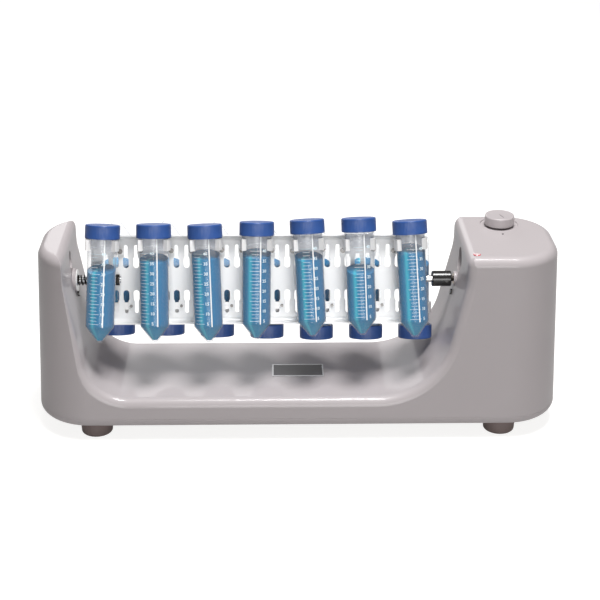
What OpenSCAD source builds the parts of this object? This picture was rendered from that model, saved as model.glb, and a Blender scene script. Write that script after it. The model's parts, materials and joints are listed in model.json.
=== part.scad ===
// Bench tube rotator: a motor in the wide tower turns a slotted rotor plate
// that carries two rows of 50 mL screw-cap tubes end over end.
// X runs along the rotor axis, with the drive tower at +X. -Y is the front.
// Z = 0 is the surface that the feet stand on.

/* [Housing] */
// Width over both towers, at the bottom edge
body_w = 520; // [500:1:560]
// Depth at the bottom edge
body_d = 138; // [128:1:160]
// Height from the bottom edge to the tower tops
body_h = 174.2; // [168:0.1:192]
// Draft of the outer walls, in degrees
draft = 2.8; // [1:0.1:3]
// Radius of the corners in plan, at the bottom edge
corner_r = 54.5; // [40:0.5:58]
// Radius of the outer top edges
edge_r = 9; // [5:0.5:10]
// Wall of the moulded shell
wall = 3.5; // [2.5:0.1:4.5]
// Height of the base tray below the parting line
tray_h = 9.5; // [9:0.5:11]
// Thickness of the tray's floor
tray_t = 3; // [2:0.5:4]

/* [Cradle] */
// Height of the cradle floor above the bottom edge
floor_h = 29.7; // [26:0.1:33]
// Distance from the middle to the idler tower's inner wall, at the top
idler_wall_x = 224; // [221:1:228]
// Distance from the middle to the drive tower's inner wall, at the top
drive_wall_x = 160; // [158:1:166]
// Lean of the idler tower's inner wall, in degrees
idler_lean = 9.5; // [7:0.5:10]
// Lean of the drive tower's inner wall, in degrees
drive_lean = 12; // [8:0.5:13]
// Radius where the idler wall sweeps into the floor
idler_sweep_r = 44; // [28:1:50]
// Radius where the drive wall sweeps into the floor
drive_sweep_r = 72; // [60:1:73]
// Height above the bottom edge where the inner walls stand upright
upright_h = 153.2; // [148:0.1:157]
// Radius of the cradle's front and back rims
rim_r = 9; // [5:0.5:10]

/* [Feet] */
// Height of a foot below the bottom edge
foot_h = 14.5; // [10:0.5:18]
// Diameter of a foot where it meets the tray
foot_d = 32; // [24:0.5:34]
// Distance from the middle to a foot, along the rotor axis
foot_x = 201; // [185:0.5:205]
// Distance from the middle to a foot, front to back
foot_y = 45.5; // [38:0.5:47]

/* [Rotor] */
// Height of the rotor axis above the bottom edge
axis_h = 129.2; // [127:0.1:132]
// Lean of the rotor at rest, top to the back, in degrees
rotor_tilt = 17.4; // [0:0.1:30]
// Left end of the rotor plate
plate_x0 = -204; // [-206:0.5:-200]
// Right end of the rotor plate
plate_x1 = 124; // [120:0.5:126]
// Height of the rotor plate
plate_w = 89; // [80:1:92]
// Thickness of the rotor plate
plate_t = 1.5; // [1:0.1:2]
// Depth of the plate's turned edges
plate_flange = 10.5; // [8:0.5:11]
// Distance from the rotor axis to the plate's back face
plate_back = 8; // [7.5:0.1:8.5]
// Distance from one column of keyholes to the next
slot_pitch = 10; // [9:0.5:12]
// Width of a keyhole's narrow end
slot_w = 3.8; // [3:0.1:4.5]
// Width of a keyhole's wide end
slot_head_w = 5.8; // [5:0.1:6.5]
// Length of a keyhole
slot_len = 23; // [18:0.5:26]
// Distance from the rotor axis to the near end of the keyholes
slot_from = 11; // [9:0.5:14]
// Diameter of the rotor's two stub shafts
stub_d = 7; // [5:0.1:8]

/* [Tubes] */
// Length of a tube with its cap
tube_len = 115; // [110:0.5:118]
// Outer diameter of a tube
tube_d = 28.4; // [27:0.1:30]
// Wall of a tube
tube_wall = 1.3; // [1:0.1:1.8]
// Height of the cone at a tube's tip
cone_h = 15; // [12:0.5:18]
// Diameter of a cap
cap_d = 34; // [32:0.1:35.5]
// Height of a cap
cap_h = 13.5; // [11:0.5:15]
// Distance between neighbouring tubes
tube_pitch = 50; // [46:1:52]
// Middle of the front row, along the rotor axis
front_mid_x = -40.7; // [-41.5:0.1:-40]
// Sideways step of the rear row
rear_step_x = 9.5; // [7:0.5:10]
// Distance from the rotor axis to the front tubes' axes
front_out = 20.5; // [20:0.1:22]
// Distance from the rotor axis to the rear tubes' axes
rear_out = 24.8; // [24.7:0.1:27]

/* [Clips] */
// Wall of a spring clip's ring
clip_wall = 2; // [1.6:0.1:2.4]
// Height of a clip's ring, along the tube
clip_h = 11; // [9:0.5:13]
// Gap between a front clip's ring and the cap of a tube that sits at middle height
front_clip_gap = 2; // [2:0.1:6]
// The same at the rear
rear_clip_gap = 7.5; // [7:0.1:9]
// Gap angle of a clip's mouth, in degrees
clip_mouth = 96; // [80:1:110]
// Distance between a clip's two screws
clip_screw_gap = 30; // [26:0.5:34]

/* [Drive] */
// Diameter of the coupling
coupling_d = 15.4; // [14:0.1:18]
// Length of the coupling
coupling_l = 19; // [16:0.5:20]
// Gap between the coupling and the drive tower's inner wall
coupling_gap = 4.5; // [4:0.5:6]
// Diameter of the drive shaft
drive_shaft_d = 5.4; // [4:0.1:6.5]
// How far the rotor moves towards the idler to come out of the coupling
release = 3; // [2.6:0.1:3.2]
// Diameter of the gearbox
gearbox_d = 37; // [32:1:42]
// Length of the gearbox
gearbox_l = 24; // [18:1:28]
// Diameter of the motor
motor_d = 34; // [28:1:36]
// Length of the motor
motor_l = 32; // [25:1:36]

/* [Idler] */
// Diameter of the idler shaft where it runs in its bush
idler_shaft_d = 9.2; // [8.5:0.1:10]
// Diameter of the spring's seat washer
washer_d = 22; // [18:0.5:24]
// Outer diameter of the spring
spring_d = 10.8; // [10.4:0.1:12]
// Diameter of the spring's wire
wire_d = 1.4; // [1:0.1:1.6]
// Number of turns of the spring
spring_turns = 4.5; // [3:0.5:6]

/* [Controls] */
// Place of the speed knob along the rotor axis
knob_x = 202; // [200:0.5:206]
// Place of the speed knob, front to back
knob_y = 33; // [28:0.5:33]
// Diameter of the speed knob
knob_d = 30; // [24:0.5:32]
// Height of the speed knob's top above the tower
knob_rise = 10; // [7:0.5:14]
// Diameter of the recess that the knob stands in
recess_d = 38; // [34:0.5:39]
// Depth of that recess
recess_h = 1.5; // [1:0.1:2]
// Place of the run lamp along the rotor axis
lamp_x = 169; // [168:0.5:176]
// Place of the run lamp, front to back
lamp_y = -47; // [-48:0.5:-40]
// Diameter of the run lamp's lens
lamp_d = 7.4; // [5:0.1:9]
// Height of the power switch's middle above the bottom edge
switch_h = 88; // [60:1:100]
// Height of the power switch's bezel
switch_l = 24; // [20:0.5:30]
// Width of the power switch's bezel
switch_w = 15; // [12:0.5:18]

/* [Power] */
// Place of the power inlet along the rotor axis
inlet_x = 186; // [182:1:188]
// Height of the power inlet's middle above the bottom edge
inlet_h = 44; // [38:1:60]
// Width of the power inlet's opening
inlet_w = 27.5; // [24:0.5:30]
// Height of the power inlet's opening
inlet_l = 20; // [18:0.5:24]

/* [Hidden] */

$fn = 48;
fit = 0.05;        // radial clearance of a running fit
gap = 0.3;         // clearance between pieces that must not touch
eps = 0.05;        // overshoot of a cut

// Heights above the surface that the feet stand on
base_z = foot_h;
parting_z = base_z + tray_h;
top_z = base_z + body_h;
floor_z = base_z + floor_h;
axis_z = base_z + axis_h;
upright_z = base_z + upright_h;
deck_z = base_z + tray_t;
slope = tan(draft);

// Tubes as they were put in by hand: lean in degrees and lift along the tube
tube_count = 7;
front_lean = [2.7, 0.1, -1.8, 0.6, -2.8, -2.2, -3.4];
front_lift = [-1.5, -1, -1.5, 1, 3, 4.5, 2];
rear_lift = [0.5, 0, -2, -3.5, -5, -5, -5];
// Distance from the rotor axis to a clip's middle, along the tube
front_clip_at = tube_len / 2 - cap_h - front_clip_gap - clip_h / 2;
rear_clip_at = tube_len / 2 - cap_h - rear_clip_gap - clip_h / 2;
function front_x(k) = front_mid_x + (k - 4) * tube_pitch;
function rear_x(k) = front_x(k) + rear_step_x;

// ---------- Outer form of the housing ----------
plan_steps = 9;
corner_x = body_w / 2 - corner_r;
corner_y = body_d / 2 - corner_r;
function half_w(z) = body_w / 2 - (z - base_z) * slope;
function half_d(z) = body_d / 2 - (z - base_z) * slope;

// One level of the drafted, round-cornered plan, drawn in by inset
function plan(z, inset = 0) =
    let (r = corner_r - (z - base_z) * slope - inset)
    [for (q = [0 : 3]) for (i = [0 : plan_steps])
        let (t = 90 * (q + i / plan_steps),
             sx = (q == 0 || q == 3) ? 1 : -1,
             sy = q < 2 ? 1 : -1)
        [sx * corner_x + r * cos(t), sy * corner_y + r * sin(t), z]];

// Joins closed rings of equal length into a solid; rings run counter-clockwise seen from the end
module skin(rings) {
    n = len(rings[0]);
    m = len(rings);
    polyhedron(
        points = [for (r = rings) each r],
        faces = concat(
            [[for (i = [0 : n - 1]) i]],
            [[for (i = [n - 1 : -1 : 0]) (m - 1) * n + i]],
            [for (j = [0 : m - 2]) for (i = [0 : n - 1])
                let (a = j * n + i, b = j * n + (i + 1) % n)
                each [[a, a + n, b + n], [a, b + n, b]]]),
        convexity = 6);
}

// The whole outer form, drawn in by inset, from z0 up to the rounded top
round_steps = 5;
module outer_form(z0, inset = 0) {
    r = edge_r - inset;
    skin(concat(
        [plan(z0, inset)],
        [for (i = [0 : round_steps])
            let (t = 90 * i / round_steps)
            plan(top_z - edge_r + r * sin(t), inset + r * (1 - cos(t)))]));
}

// ---------- The cradle between the towers ----------
blend_r = 60;      // radius where a leaning inner wall turns upright
lip_r = 6;         // radius of the towers' inner top edges
sweep_steps = 12;
function sweep_x(top_x, lean, r) =
    top_x - blend_r - (r - blend_r + (upright_z - floor_z - r) * sin(lean)) / cos(lean);
// X of an inner wall's surface at height z, on its leaning stretch
function wall_x(top_x, lean, z) =
    top_x - blend_r * (1 - cos(lean)) - (upright_z - blend_r * sin(lean) - z) * tan(lean);

// Half of the cradle's section, from the floor up, moved out by o
function half_section(top_x, lean, r, o) = concat(
    [for (i = [0 : sweep_steps])
        let (t = -90 + (90 - lean) * i / sweep_steps)
        [sweep_x(top_x, lean, r) + (r + o) * cos(t), floor_z + r + (r + o) * sin(t)]],
    [for (i = [0 : 3])
        let (t = -lean * (1 - i / 3))
        [top_x - blend_r + (blend_r + o) * cos(t), upright_z + (blend_r + o) * sin(t)]],
    [for (i = [0 : 3])
        let (t = 90 * i / 3)
        [top_x + o + lip_r * (1 - cos(t)), top_z - lip_r + (lip_r + eps) * sin(t)]],
    [[top_x + o + lip_r, top_z + 2]]);

function section(o) =
    let (right = half_section(drive_wall_x, drive_lean, drive_sweep_r, o),
         left = half_section(idler_wall_x, idler_lean, idler_sweep_r, o),
         n = len(left))
    concat(right, [for (i = [n - 1 : -1 : 0]) [-left[i][0], left[i][1]]]);

// The cradle's space: a U-shaped channel whose rims flare out to the front and back by a
// quarter circle, and follow the draft. grow moves every side out.
module cradle_space(grow = 0) {
    r = rim_r - grow;
    turn = [for (i = [0 : round_steps]) 90 * (1 - i / round_steps)];
    function station(s, t) =
        [for (p = section(grow + r * (1 - cos(t))))
            [p[0], s * (half_d(p[1]) - grow + eps - r * (1 - sin(t))), p[1]]];
    function outside(s) = [for (p = section(grow + r)) [p[0], s * (body_d / 2 + 3), p[1]]];
    skin([for (ring = concat(
            [outside(-1)], [for (t = turn) station(-1, t)],
            [for (i = [round_steps : -1 : 0]) station(1, turn[i])], [outside(1)]))
        [for (i = [len(ring) - 1 : -1 : 0]) ring[i]]]);
}

// ---------- Where pieces meet the housing ----------
idler_face_x = -wall_x(idler_wall_x, idler_lean, axis_z);
drive_face_x = wall_x(drive_wall_x, drive_lean, axis_z);
pad_rise = 2.2;                          // how far the bearing pads stand out of the walls
idler_pad_x = idler_face_x + pad_rise;
drive_pad_x = drive_face_x - pad_rise;
pad_edge = 1;
bush_wall = 2.4;
idler_bush_d = idler_shaft_d + 2 * bush_wall;
drive_bush_d = drive_shaft_d + 2 * bush_wall;
idler_slot_w = 13;                       // width of the slot above the idler shaft
drive_slot_w = 20;                       // the same above the drive shaft
wall_slot_l = 5;                         // between the centres of a slot's round ends
wall_screw_drop = 14.5;                  // the bracket screws' distance below the axis
wall_screw_d = 3;
boss_d = 9;
base_screw_d = 4;
tower_boss_x = body_w / 2 - wall - 11;
// Screws through the tray: four under the cradle and one under the end of each tower
base_screw_spots = [[-150, 49], [-150, -49], [50, 49], [50, -49],
                    [tower_boss_x, 0], [-tower_boss_x, 0]];
foot_spots = [for (sx = [-1, 1]) for (sy = [-1, 1]) [sx * foot_x, sy * foot_y]];
motor_boss_gap = 42;                     // spacing of the motor bracket's screws, both ways
bracket_x = drive_face_x + wall + 7;     // face of the motor bracket towards the wall
bracket_t = 2.5;
motor_boss_spots = [for (sy = [-1, 1]) for (sz = [-1, 1]) [sy, sz] * motor_boss_gap / 2];
pot_bore_d = 7;
lamp_stem_d = lamp_d - 2;
switch_z = base_z + switch_h;
inlet_z = base_z + inlet_h;

// Along X, from x0 to x1, on the rotor axis
module along_x(x0, x1, d) {
    translate([x0, 0, axis_z]) rotate([0, 90, 0]) cylinder(h = x1 - x0, d = d);
}
// On the right side face, Z outwards and X down
module on_side() {
    translate([half_w(switch_z), 0, switch_z]) rotate([0, 90 - draft, 0]) children();
}
// On the back face, Z outwards and Y down
module on_back() {
    translate([inlet_x, half_d(inlet_z), inlet_z]) rotate([draft - 90, 0, 0]) children();
}
// The upright slot in an inner wall, from above a pad of diameter d; s is the side
module wall_slot(s, x, d, w) {
    z0 = axis_z + d / 2 + w / 2 + 1;
    translate([x, 0, 0]) rotate([0, s * 90, 0]) linear_extrude(wall + 8)
        union() {
            translate([-s * (z0 + wall_slot_l / 2), 0]) square([wall_slot_l, w], center = true);
            for (z = [z0, z0 + wall_slot_l]) translate([-s * z, 0]) circle(d = w);
        }
}

module housing() color([0.66, 0.63, 0.64]) {
    difference() {
        union() {
            difference() {
                outer_form(parting_z);
                difference() {
                    outer_form(parting_z - 1, wall);
                    cradle_space(wall);
                }
                cradle_space();
            }
            // bearing pads
            difference() {
                along_x(idler_face_x - wall, idler_pad_x, washer_d + 2 * pad_edge);
                translate([idler_face_x, 0, axis_z]) rotate([0, -idler_lean, 0])
                    translate([-wall / 2 - 2 * wall, -washer_d, -washer_d])
                        cube([2 * wall, 2 * washer_d, 2 * washer_d]);
            }
            along_x(drive_pad_x, drive_face_x + wall / 2, drive_bush_d + 4 * pad_edge);
            // screw bosses
            for (p = base_screw_spots) housing_boss(p);
            for (p = motor_boss_spots)
                translate([drive_face_x + wall + tan(drive_lean) * p[1] - 1.5, p[0], axis_z + p[1]])
                    rotate([0, 90, 0])
                    cylinder(d = boss_d,
                        h = bracket_x - drive_face_x - wall - tan(drive_lean) * p[1] + 1.5);
        }
        // bush bores
        along_x(idler_face_x - 3 * wall, idler_pad_x + 1, idler_bush_d);
        along_x(drive_pad_x - 1, drive_face_x + 3 * wall, drive_bush_d);
        wall_slot(-1, idler_face_x + 4, washer_d + 2 * pad_edge, idler_slot_w);
        wall_slot(1, drive_face_x - 4, drive_bush_d + 4 * pad_edge, drive_slot_w);
        bracket_screw(-1, wall_screw_d + 2 * fit);
        bracket_screw(1, wall_screw_d + 2 * fit);
        for (p = base_screw_spots) translate([p[0], p[1], 0])
            cylinder(h = deck_z + 14, d = base_screw_d + 2 * fit);
        for (p = motor_boss_spots) translate([bracket_x - 6, p[0], axis_z + p[1]]) rotate([0, 90, 0])
            cylinder(h = 10, d = wall_screw_d + 2 * fit);
        // controls
        translate([knob_x, knob_y, top_z - recess_h]) cylinder(h = recess_h + 1, d = recess_d);
        translate([knob_x, knob_y, top_z - 2 * wall]) cylinder(h = 3 * wall, d = pot_bore_d + 2 * fit);
        translate([lamp_x, lamp_y, top_z - 2 * wall]) cylinder(h = 3 * wall, d = lamp_stem_d + 2 * fit);
        on_side() cube([switch_l - 2, switch_w - 2, 4 * wall], center = true);
        on_back() cube([inlet_w + 2 * gap, inlet_l + 2 * gap, 4 * wall], center = true);
    }
}

// A screw boss that stands on the tray's floor and runs up into the shell
module housing_boss(p) {
    tower = abs(p[0]) > corner_x;
    h = tower ? 34 : floor_z - wall / 2 - deck_z;
    translate([p[0], p[1], deck_z]) cylinder(h = h, d = boss_d);
    web_z = parting_z + tray_lip_h + gap;
    if (tower) translate([p[0], p[1], web_z]) mirror([p[0] < 0 ? 1 : 0, 0, 0])
        translate([0, -1.5, 0])
            cube([half_w(deck_z) - wall / 2 - abs(p[0]) - 1.5, 3, deck_z + h - web_z]);
}

// The lower screw of each wall bracket, square to the leaning wall; s is the side
bracket_screw_l = 9;
module bracket_screw(s, d, head_d = 0) {
    top_x = s < 0 ? idler_wall_x : drive_wall_x;
    lean = s < 0 ? idler_lean : drive_lean;
    z = axis_z - wall_screw_drop;
    translate([s * wall_x(top_x, lean, z), 0, z]) rotate([0, s * (90 + lean), 0]) {
        translate([0, 0, -1]) cylinder(h = bracket_screw_l + 1, d = d);
        if (head_d > 0) translate([0, 0, -1.9]) cylinder(h = 1.9, d = head_d);
    }
}

// ---------- Base ----------
tray_edge_r = 8.5;
tray_lip_h = 3;    // how far the locating lip stands up into the shell
module base_tray() color([0.62, 0.59, 0.60]) {
    difference() {
        union() {
            difference() {
                skin(concat(
                    [for (i = [0 : 5]) let (t = 18 * i)
                        plan(base_z + tray_edge_r * (1 - cos(t)), tray_edge_r * (1 - sin(t)))],
                    [plan(parting_z)]));
                skin([plan(deck_z, wall + 4), plan(deck_z + 3, wall + 0.5), plan(parting_z + 1, wall)]);
            }
            // locating lip inside the shell
            difference() {
                skin([plan(deck_z - 1, wall + gap), plan(parting_z + tray_lip_h, wall + gap)]);
                skin([plan(deck_z - 2, wall + gap + 1.8), plan(parting_z + tray_lip_h + 1, wall + gap + 1.8)]);
            }
            for (p = foot_spots) translate([p[0], p[1], deck_z - 1]) cylinder(h = 7, d = boss_d);
            for (p = board_spots)
                translate([p[0], p[1], deck_z - 1]) cylinder(h = board_z - deck_z + 1, d = 6);
        }
        for (p = base_screw_spots) translate([p[0], p[1], 0]) {
            cylinder(h = deck_z + 1, d = base_screw_d + 2 * gap);
            cylinder(h = base_z + 1.5, d = 2 * base_screw_d);
        }
        for (p = foot_spots) translate([p[0], p[1], base_z - 1])
            cylinder(h = 6, d = base_screw_d + 2 * fit);
    }
}

module base_screws() color("silver") {
    for (p = base_screw_spots) translate([p[0], p[1], base_z]) {
        translate([0, 0, 0.2]) cylinder(h = 1.3, d = 1.8 * base_screw_d);
        cylinder(h = 12, d = base_screw_d);
    }
    for (p = foot_spots) translate([p[0], p[1], foot_h - foot_seat]) {
        translate([0, 0, -3]) cylinder(h = 3, d = 1.8 * base_screw_d);
        cylinder(h = foot_seat + 4, d = base_screw_d);
    }
}

foot_seat = 6;     // rubber left between a foot screw's head and the tray
module feet() color([0.27, 0.24, 0.22]) {
    for (p = foot_spots) translate([p[0], p[1], 0]) rotate_extrude()
        difference() {
            union() {
                polygon([[0, 0], [foot_d / 2 - 2.4, 0], [foot_d / 2 - 0.4, 2],
                    [foot_d / 2, foot_h], [0, foot_h]]);
                translate([foot_d / 2 - 2.4, 2]) circle(r = 2);
            }
            square([base_screw_d / 2 + fit, foot_h + 1]);
            square([base_screw_d, foot_h - foot_seat]);
        }
}

plate_size = [52, 26, 0.6];
plate_y = -4;
module floor_plate() color([0.35, 0.35, 0.38])
    translate([0, plate_y, floor_z + plate_size[2] / 2]) cube(plate_size, center = true);

// ---------- Idler side ----------
idler_back_x = idler_face_x - 8;         // far end of the bush
module idler_bush() color([0.75, 0.6, 0.3]) difference() {
    union() {
        along_x(idler_back_x, idler_pad_x, idler_bush_d - 2 * fit);
        along_x(idler_back_x - 2, idler_back_x, idler_bush_d + 6);
    }
    along_x(idler_back_x - 3, idler_pad_x + 1, idler_shaft_d + 2 * fit);
}

idler_bracket_t = 2;
module idler_bracket() color([0.7, 0.7, 0.72]) difference() {
    translate([idler_face_x, 0, axis_z]) rotate([0, -idler_lean, 0])
        translate([-wall - idler_bracket_t - fit, -12, -22]) cube([idler_bracket_t, 24, 34]);
    along_x(idler_back_x, idler_pad_x, idler_bush_d + 2 * gap);
    bracket_screw(-1, wall_screw_d + 2 * fit);
}

washer_t = 1.2;
module idler_washer() color([0.9, 0.9, 0.9]) difference() {
    along_x(idler_pad_x, idler_pad_x + washer_t, washer_d);
    along_x(idler_pad_x - 1, idler_pad_x + washer_t + 1, stub_d + 2 * gap);
}

// A round wire wound from the washer to the rotor's end, with closed ends
spring_x0 = idler_pad_x + washer_t + wire_d / 2 + eps;
spring_x1 = plate_x0 - wire_d / 2 - eps;
function advance(u) = u < 0.12 ? 0 : u > 0.88 ? 1 : (u - 0.12) / 0.76;
module idler_spring() color([0.1, 0.1, 0.1]) {
    sides = 8;
    steps = 18 * spring_turns;
    r = (spring_d - wire_d) / 2;
    skin([for (i = [0 : steps])
        let (t = 360 * spring_turns * i / steps,
             x = spring_x0 + (spring_x1 - spring_x0) * advance(i / steps))
        [for (k = [0 : sides - 1])
            let (a = 360 * k / sides, q = r + wire_d / 2 * cos(a))
            [x + wire_d / 2 * sin(a), q * cos(t), axis_z + q * sin(t)]]]);
}

stud_end_x = plate_x0 + 29;              // where the idler shaft's thread ends, past its tab
idler_shaft_x0 = idler_back_x - 10;
module idler_shaft() color([0.6, 0.6, 0.62]) {
    along_x(idler_shaft_x0, idler_pad_x - gap, idler_shaft_d);
    along_x(idler_pad_x - 1, stud_end_x, stub_d);
}

// ---------- Rotor ----------
// Rotor frame: X along the axis, Z up the plate, -Y to the front
module in_rotor() { translate([0, 0, axis_z]) rotate([-rotor_tilt, 0, 0]) children(); }

plate_bend_r = 7;
tab_x = stud_end_x - 7.5;
nut_d = 11;
nut_l = 4.5;
// Section of the plate's outer form: X is the rotor frame's -Z, Y is its Y
module plate_section(inset = 0) {
    r = plate_bend_r - inset;
    h = plate_w / 2 - inset;
    y0 = plate_back - plate_flange;
    c = plate_back - plate_bend_r;
    union() {
        translate([-h, y0 - (inset > 0 ? 1 : 0)]) square([2 * h, c - y0 + (inset > 0 ? 1 : 0)]);
        translate([-(plate_w / 2 - plate_bend_r), y0])
            square([plate_w - 2 * plate_bend_r, plate_flange - inset]);
        for (s = [-1, 1]) translate([s * (plate_w / 2 - plate_bend_r), c]) intersection() {
            circle(r = r);
            translate([-r, 0]) square([2 * r, r]);
        }
    }
}
slot_columns = floor((min(plate_x1 - front_mid_x, front_mid_x - plate_x0) - slot_head_w) / slot_pitch);
// One keyhole, wide end towards the axis
module keyhole() {
    half = slot_len / 2;
    union() {
        translate([0, slot_from + slot_head_w / 2]) circle(d = slot_head_w);
        translate([-slot_head_w / 2, slot_from + slot_head_w / 2]) square([slot_head_w, half - slot_head_w]);
        translate([0, slot_from + half - slot_head_w / 2]) circle(d = slot_head_w);
        translate([-slot_w / 2, slot_from + half - slot_w]) square([slot_w, half + slot_w / 2]);
        translate([0, slot_from + slot_len - slot_w / 2]) circle(d = slot_w);
    }
}
module rotor_plate() color([0.9, 0.9, 0.88]) in_rotor() difference() {
    union() {
        translate([plate_x0, 0, 0]) rotate([0, 90, 0]) difference() {
            linear_extrude(plate_x1 - plate_x0) plate_section();
            translate([0, 0, plate_t])
                linear_extrude(plate_x1 - plate_x0 - 2 * plate_t) plate_section(plate_t);
        }
        // upright tab that steadies the idler shaft's thread
        translate([tab_x, -nut_d / 2, -nut_d / 2])
            cube([plate_t, plate_back + nut_d / 2 - plate_t / 2, nut_d]);
    }
    for (j = [-slot_columns : slot_columns]) for (s = [0, 1])
        translate([front_mid_x + j * slot_pitch, plate_back + 1, 0]) mirror([0, 0, s]) rotate([90, 0, 0])
            linear_extrude(plate_t + 2) keyhole();
    translate([plate_x0 - 1, 0, 0]) rotate([0, 90, 0])
        cylinder(h = stud_end_x - plate_x0, d = stub_d + 2 * fit);
    translate([plate_x1 - 2 * plate_t, 0, 0]) rotate([0, 90, 0])
        cylinder(h = 3 * plate_t, d = stub_d + 2 * fit);
    clip_screw_holes();
}

module nut_at(x0) {
    difference() {
        translate([x0, 0, 0]) rotate([0, 90, 0]) cylinder(h = nut_l, d = nut_d, $fn = 6);
        translate([x0 - 1, 0, 0]) rotate([0, 90, 0]) cylinder(h = nut_l + 2, d = stub_d + 2 * fit);
    }
}
module rotor_nuts() color([0.15, 0.15, 0.16]) in_rotor() {
    nut_at(plate_x0 + plate_t + eps);
    nut_at(tab_x + plate_t + eps);
    nut_at(plate_x1 - plate_t - eps - nut_l);
}

coupling_x1 = drive_face_x - coupling_gap;
coupling_x0 = coupling_x1 - coupling_l;
stub_reach = release - gap;              // how far the drive stub stands in the coupling
module drive_stub() color([0.8, 0.8, 0.82])
    along_x(plate_x1 - plate_t - nut_l - 1, coupling_x0 + stub_reach, stub_d);

// ---------- Tubes and clips ----------
tube_r = tube_d / 2;
ring_r = tube_r + 2 * fit;
// Frame of a tube: Z up the tube, its middle at the origin; flip turns it over for the rear row
module at_front(k) {
    in_rotor() translate([front_x(k), -front_out, front_clip_at]) rotate([0, front_lean[k - 1], 0])
        translate([0, 0, -front_clip_at]) children();
}
module at_rear(k) { in_rotor() translate([rear_x(k), rear_out, 0]) rotate([180, 0, 0]) children(); }

tip_r = 3.2;
rim_under = 2;     // how far the tube's mouth lies below the cap's top
module tube_body() {
    z0 = -tube_len / 2;
    rotate_extrude() polygon([
        [0, z0], [tip_r, z0], [tube_r, z0 + cone_h], [tube_r, z0 + tube_len - rim_under],
        [tube_r - tube_wall, z0 + tube_len - rim_under], [tube_r - tube_wall, z0 + cone_h + 0.6],
        [tip_r - 0.4, z0 + 1.6], [0, z0 + 1.6]]);
}
module cap_body() {
    z1 = tube_len / 2;
    r = cap_d / 2;
    rotate_extrude() difference() {
        union() {
            translate([0, z1 - cap_h]) square([r, cap_h - 1]);
            translate([0, z1 - 1]) square([r - 1, 1]);
            translate([r - 1, z1 - 1]) circle(r = 1);
        }
        translate([-1, z1 - cap_h - 1]) square([tube_r + 2 * fit + 1, cap_h + 1 - rim_under + fit]);
    }
}
module front_tube(k) color([0.35, 0.62, 0.8]) at_front(k) translate([0, 0, front_lift[k - 1]]) tube_body();
module front_cap(k) color([0.18, 0.27, 0.62]) at_front(k) translate([0, 0, front_lift[k - 1]]) cap_body();
module rear_tube(k) color([0.35, 0.62, 0.8]) at_rear(k) translate([0, 0, -rear_lift[k - 1]]) tube_body();
module rear_cap(k) color([0.18, 0.27, 0.62]) at_rear(k) translate([0, 0, -rear_lift[k - 1]]) cap_body();

clip_foot_w = 12;
clip_foot_t = 1.6;
wing_h = 7;
front_wing_drop = clip_h / 2 + 2.5;      // from a front ring's middle to its screws' line
rear_wing_drop = clip_h / 2 - 1.5;       // the same at the rear
clip_screw_d = 2.9;
clip_edge = 4;                           // least distance of a clip's screw from the plate's ends
// The sides of a clip at x that have a wing: one that would pass the plate's end is left off
function wing_sides(x) = [for (s = [-1, 1]) let (w = x + s * clip_screw_gap / 2)
    if (w > plate_x0 + clip_edge && w < plate_x1 - clip_edge) s];
// A spring clip in its tube's frame: base_y is where the plate's face lies, at is its middle
module clip(base_y, at, wing_drop, sides) {
    foot_top = min(at + clip_h / 2, plate_w / 2 - plate_bend_r - 0.6);
    foot_z0 = at - clip_h / 2;
    ro = ring_r + clip_wall;
    mouth = clip_mouth / 2;
    translate([0, 0, at - clip_h / 2]) linear_extrude(clip_h) difference() {
        union() {
            circle(r = ro);
            for (s = [-1, 1])
                translate([s * (ring_r + clip_wall / 2) * sin(mouth),
                    -(ring_r + clip_wall / 2) * cos(mouth)])
                rotate(s * 28) translate([-clip_wall / 2, -4.2]) {
                    square([clip_wall, 4.2]);
                    translate([clip_wall / 2, 0]) circle(d = clip_wall);
                }
        }
        circle(r = ring_r);
        polygon([[0, 0], 2 * ro * [sin(mouth - 4), -cos(mouth - 4)], [0, -2 * ro],
            2 * ro * [-sin(mouth - 4), -cos(mouth - 4)]]);
    }
    difference() {
        union() {
            translate([-clip_foot_w / 2, 0, foot_z0]) cube([clip_foot_w, base_y, foot_top - foot_z0]);
            translate([-clip_foot_w / 2, base_y - clip_foot_t, at - wing_drop - wing_h / 2])
                cube([clip_foot_w, clip_foot_t, wing_drop + wing_h / 2]);
            for (s = sides) translate([s < 0 ? -clip_screw_gap / 2 - wing_h / 2 : -1, base_y - clip_foot_t,
                at - wing_drop - wing_h / 2])
                cube([clip_screw_gap / 2 + wing_h / 2 + 1, clip_foot_t, wing_h]);
        }
        translate([0, 0, foot_z0 - 1]) cylinder(h = clip_h + 2, r = ring_r + clip_wall / 2);
        for (s = [-1, 1]) translate([s * clip_screw_gap / 2, base_y + 1, at - wing_drop]) rotate([90, 0, 0])
            cylinder(h = clip_foot_t + 2, d = clip_screw_d + 2 * fit);
    }
}
front_base = front_out + plate_back - plate_t;
rear_base = rear_out - plate_back;
module front_clips() color([0.94, 0.94, 0.92])
    for (k = [1 : tube_count]) at_front(k)
        clip(front_base - eps, front_clip_at, front_wing_drop, wing_sides(front_x(k)));
module rear_clips() color([0.94, 0.94, 0.92])
    for (k = [1 : tube_count]) at_rear(k)
        clip(rear_base - eps, rear_clip_at, rear_wing_drop, wing_sides(rear_x(k)));

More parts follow.
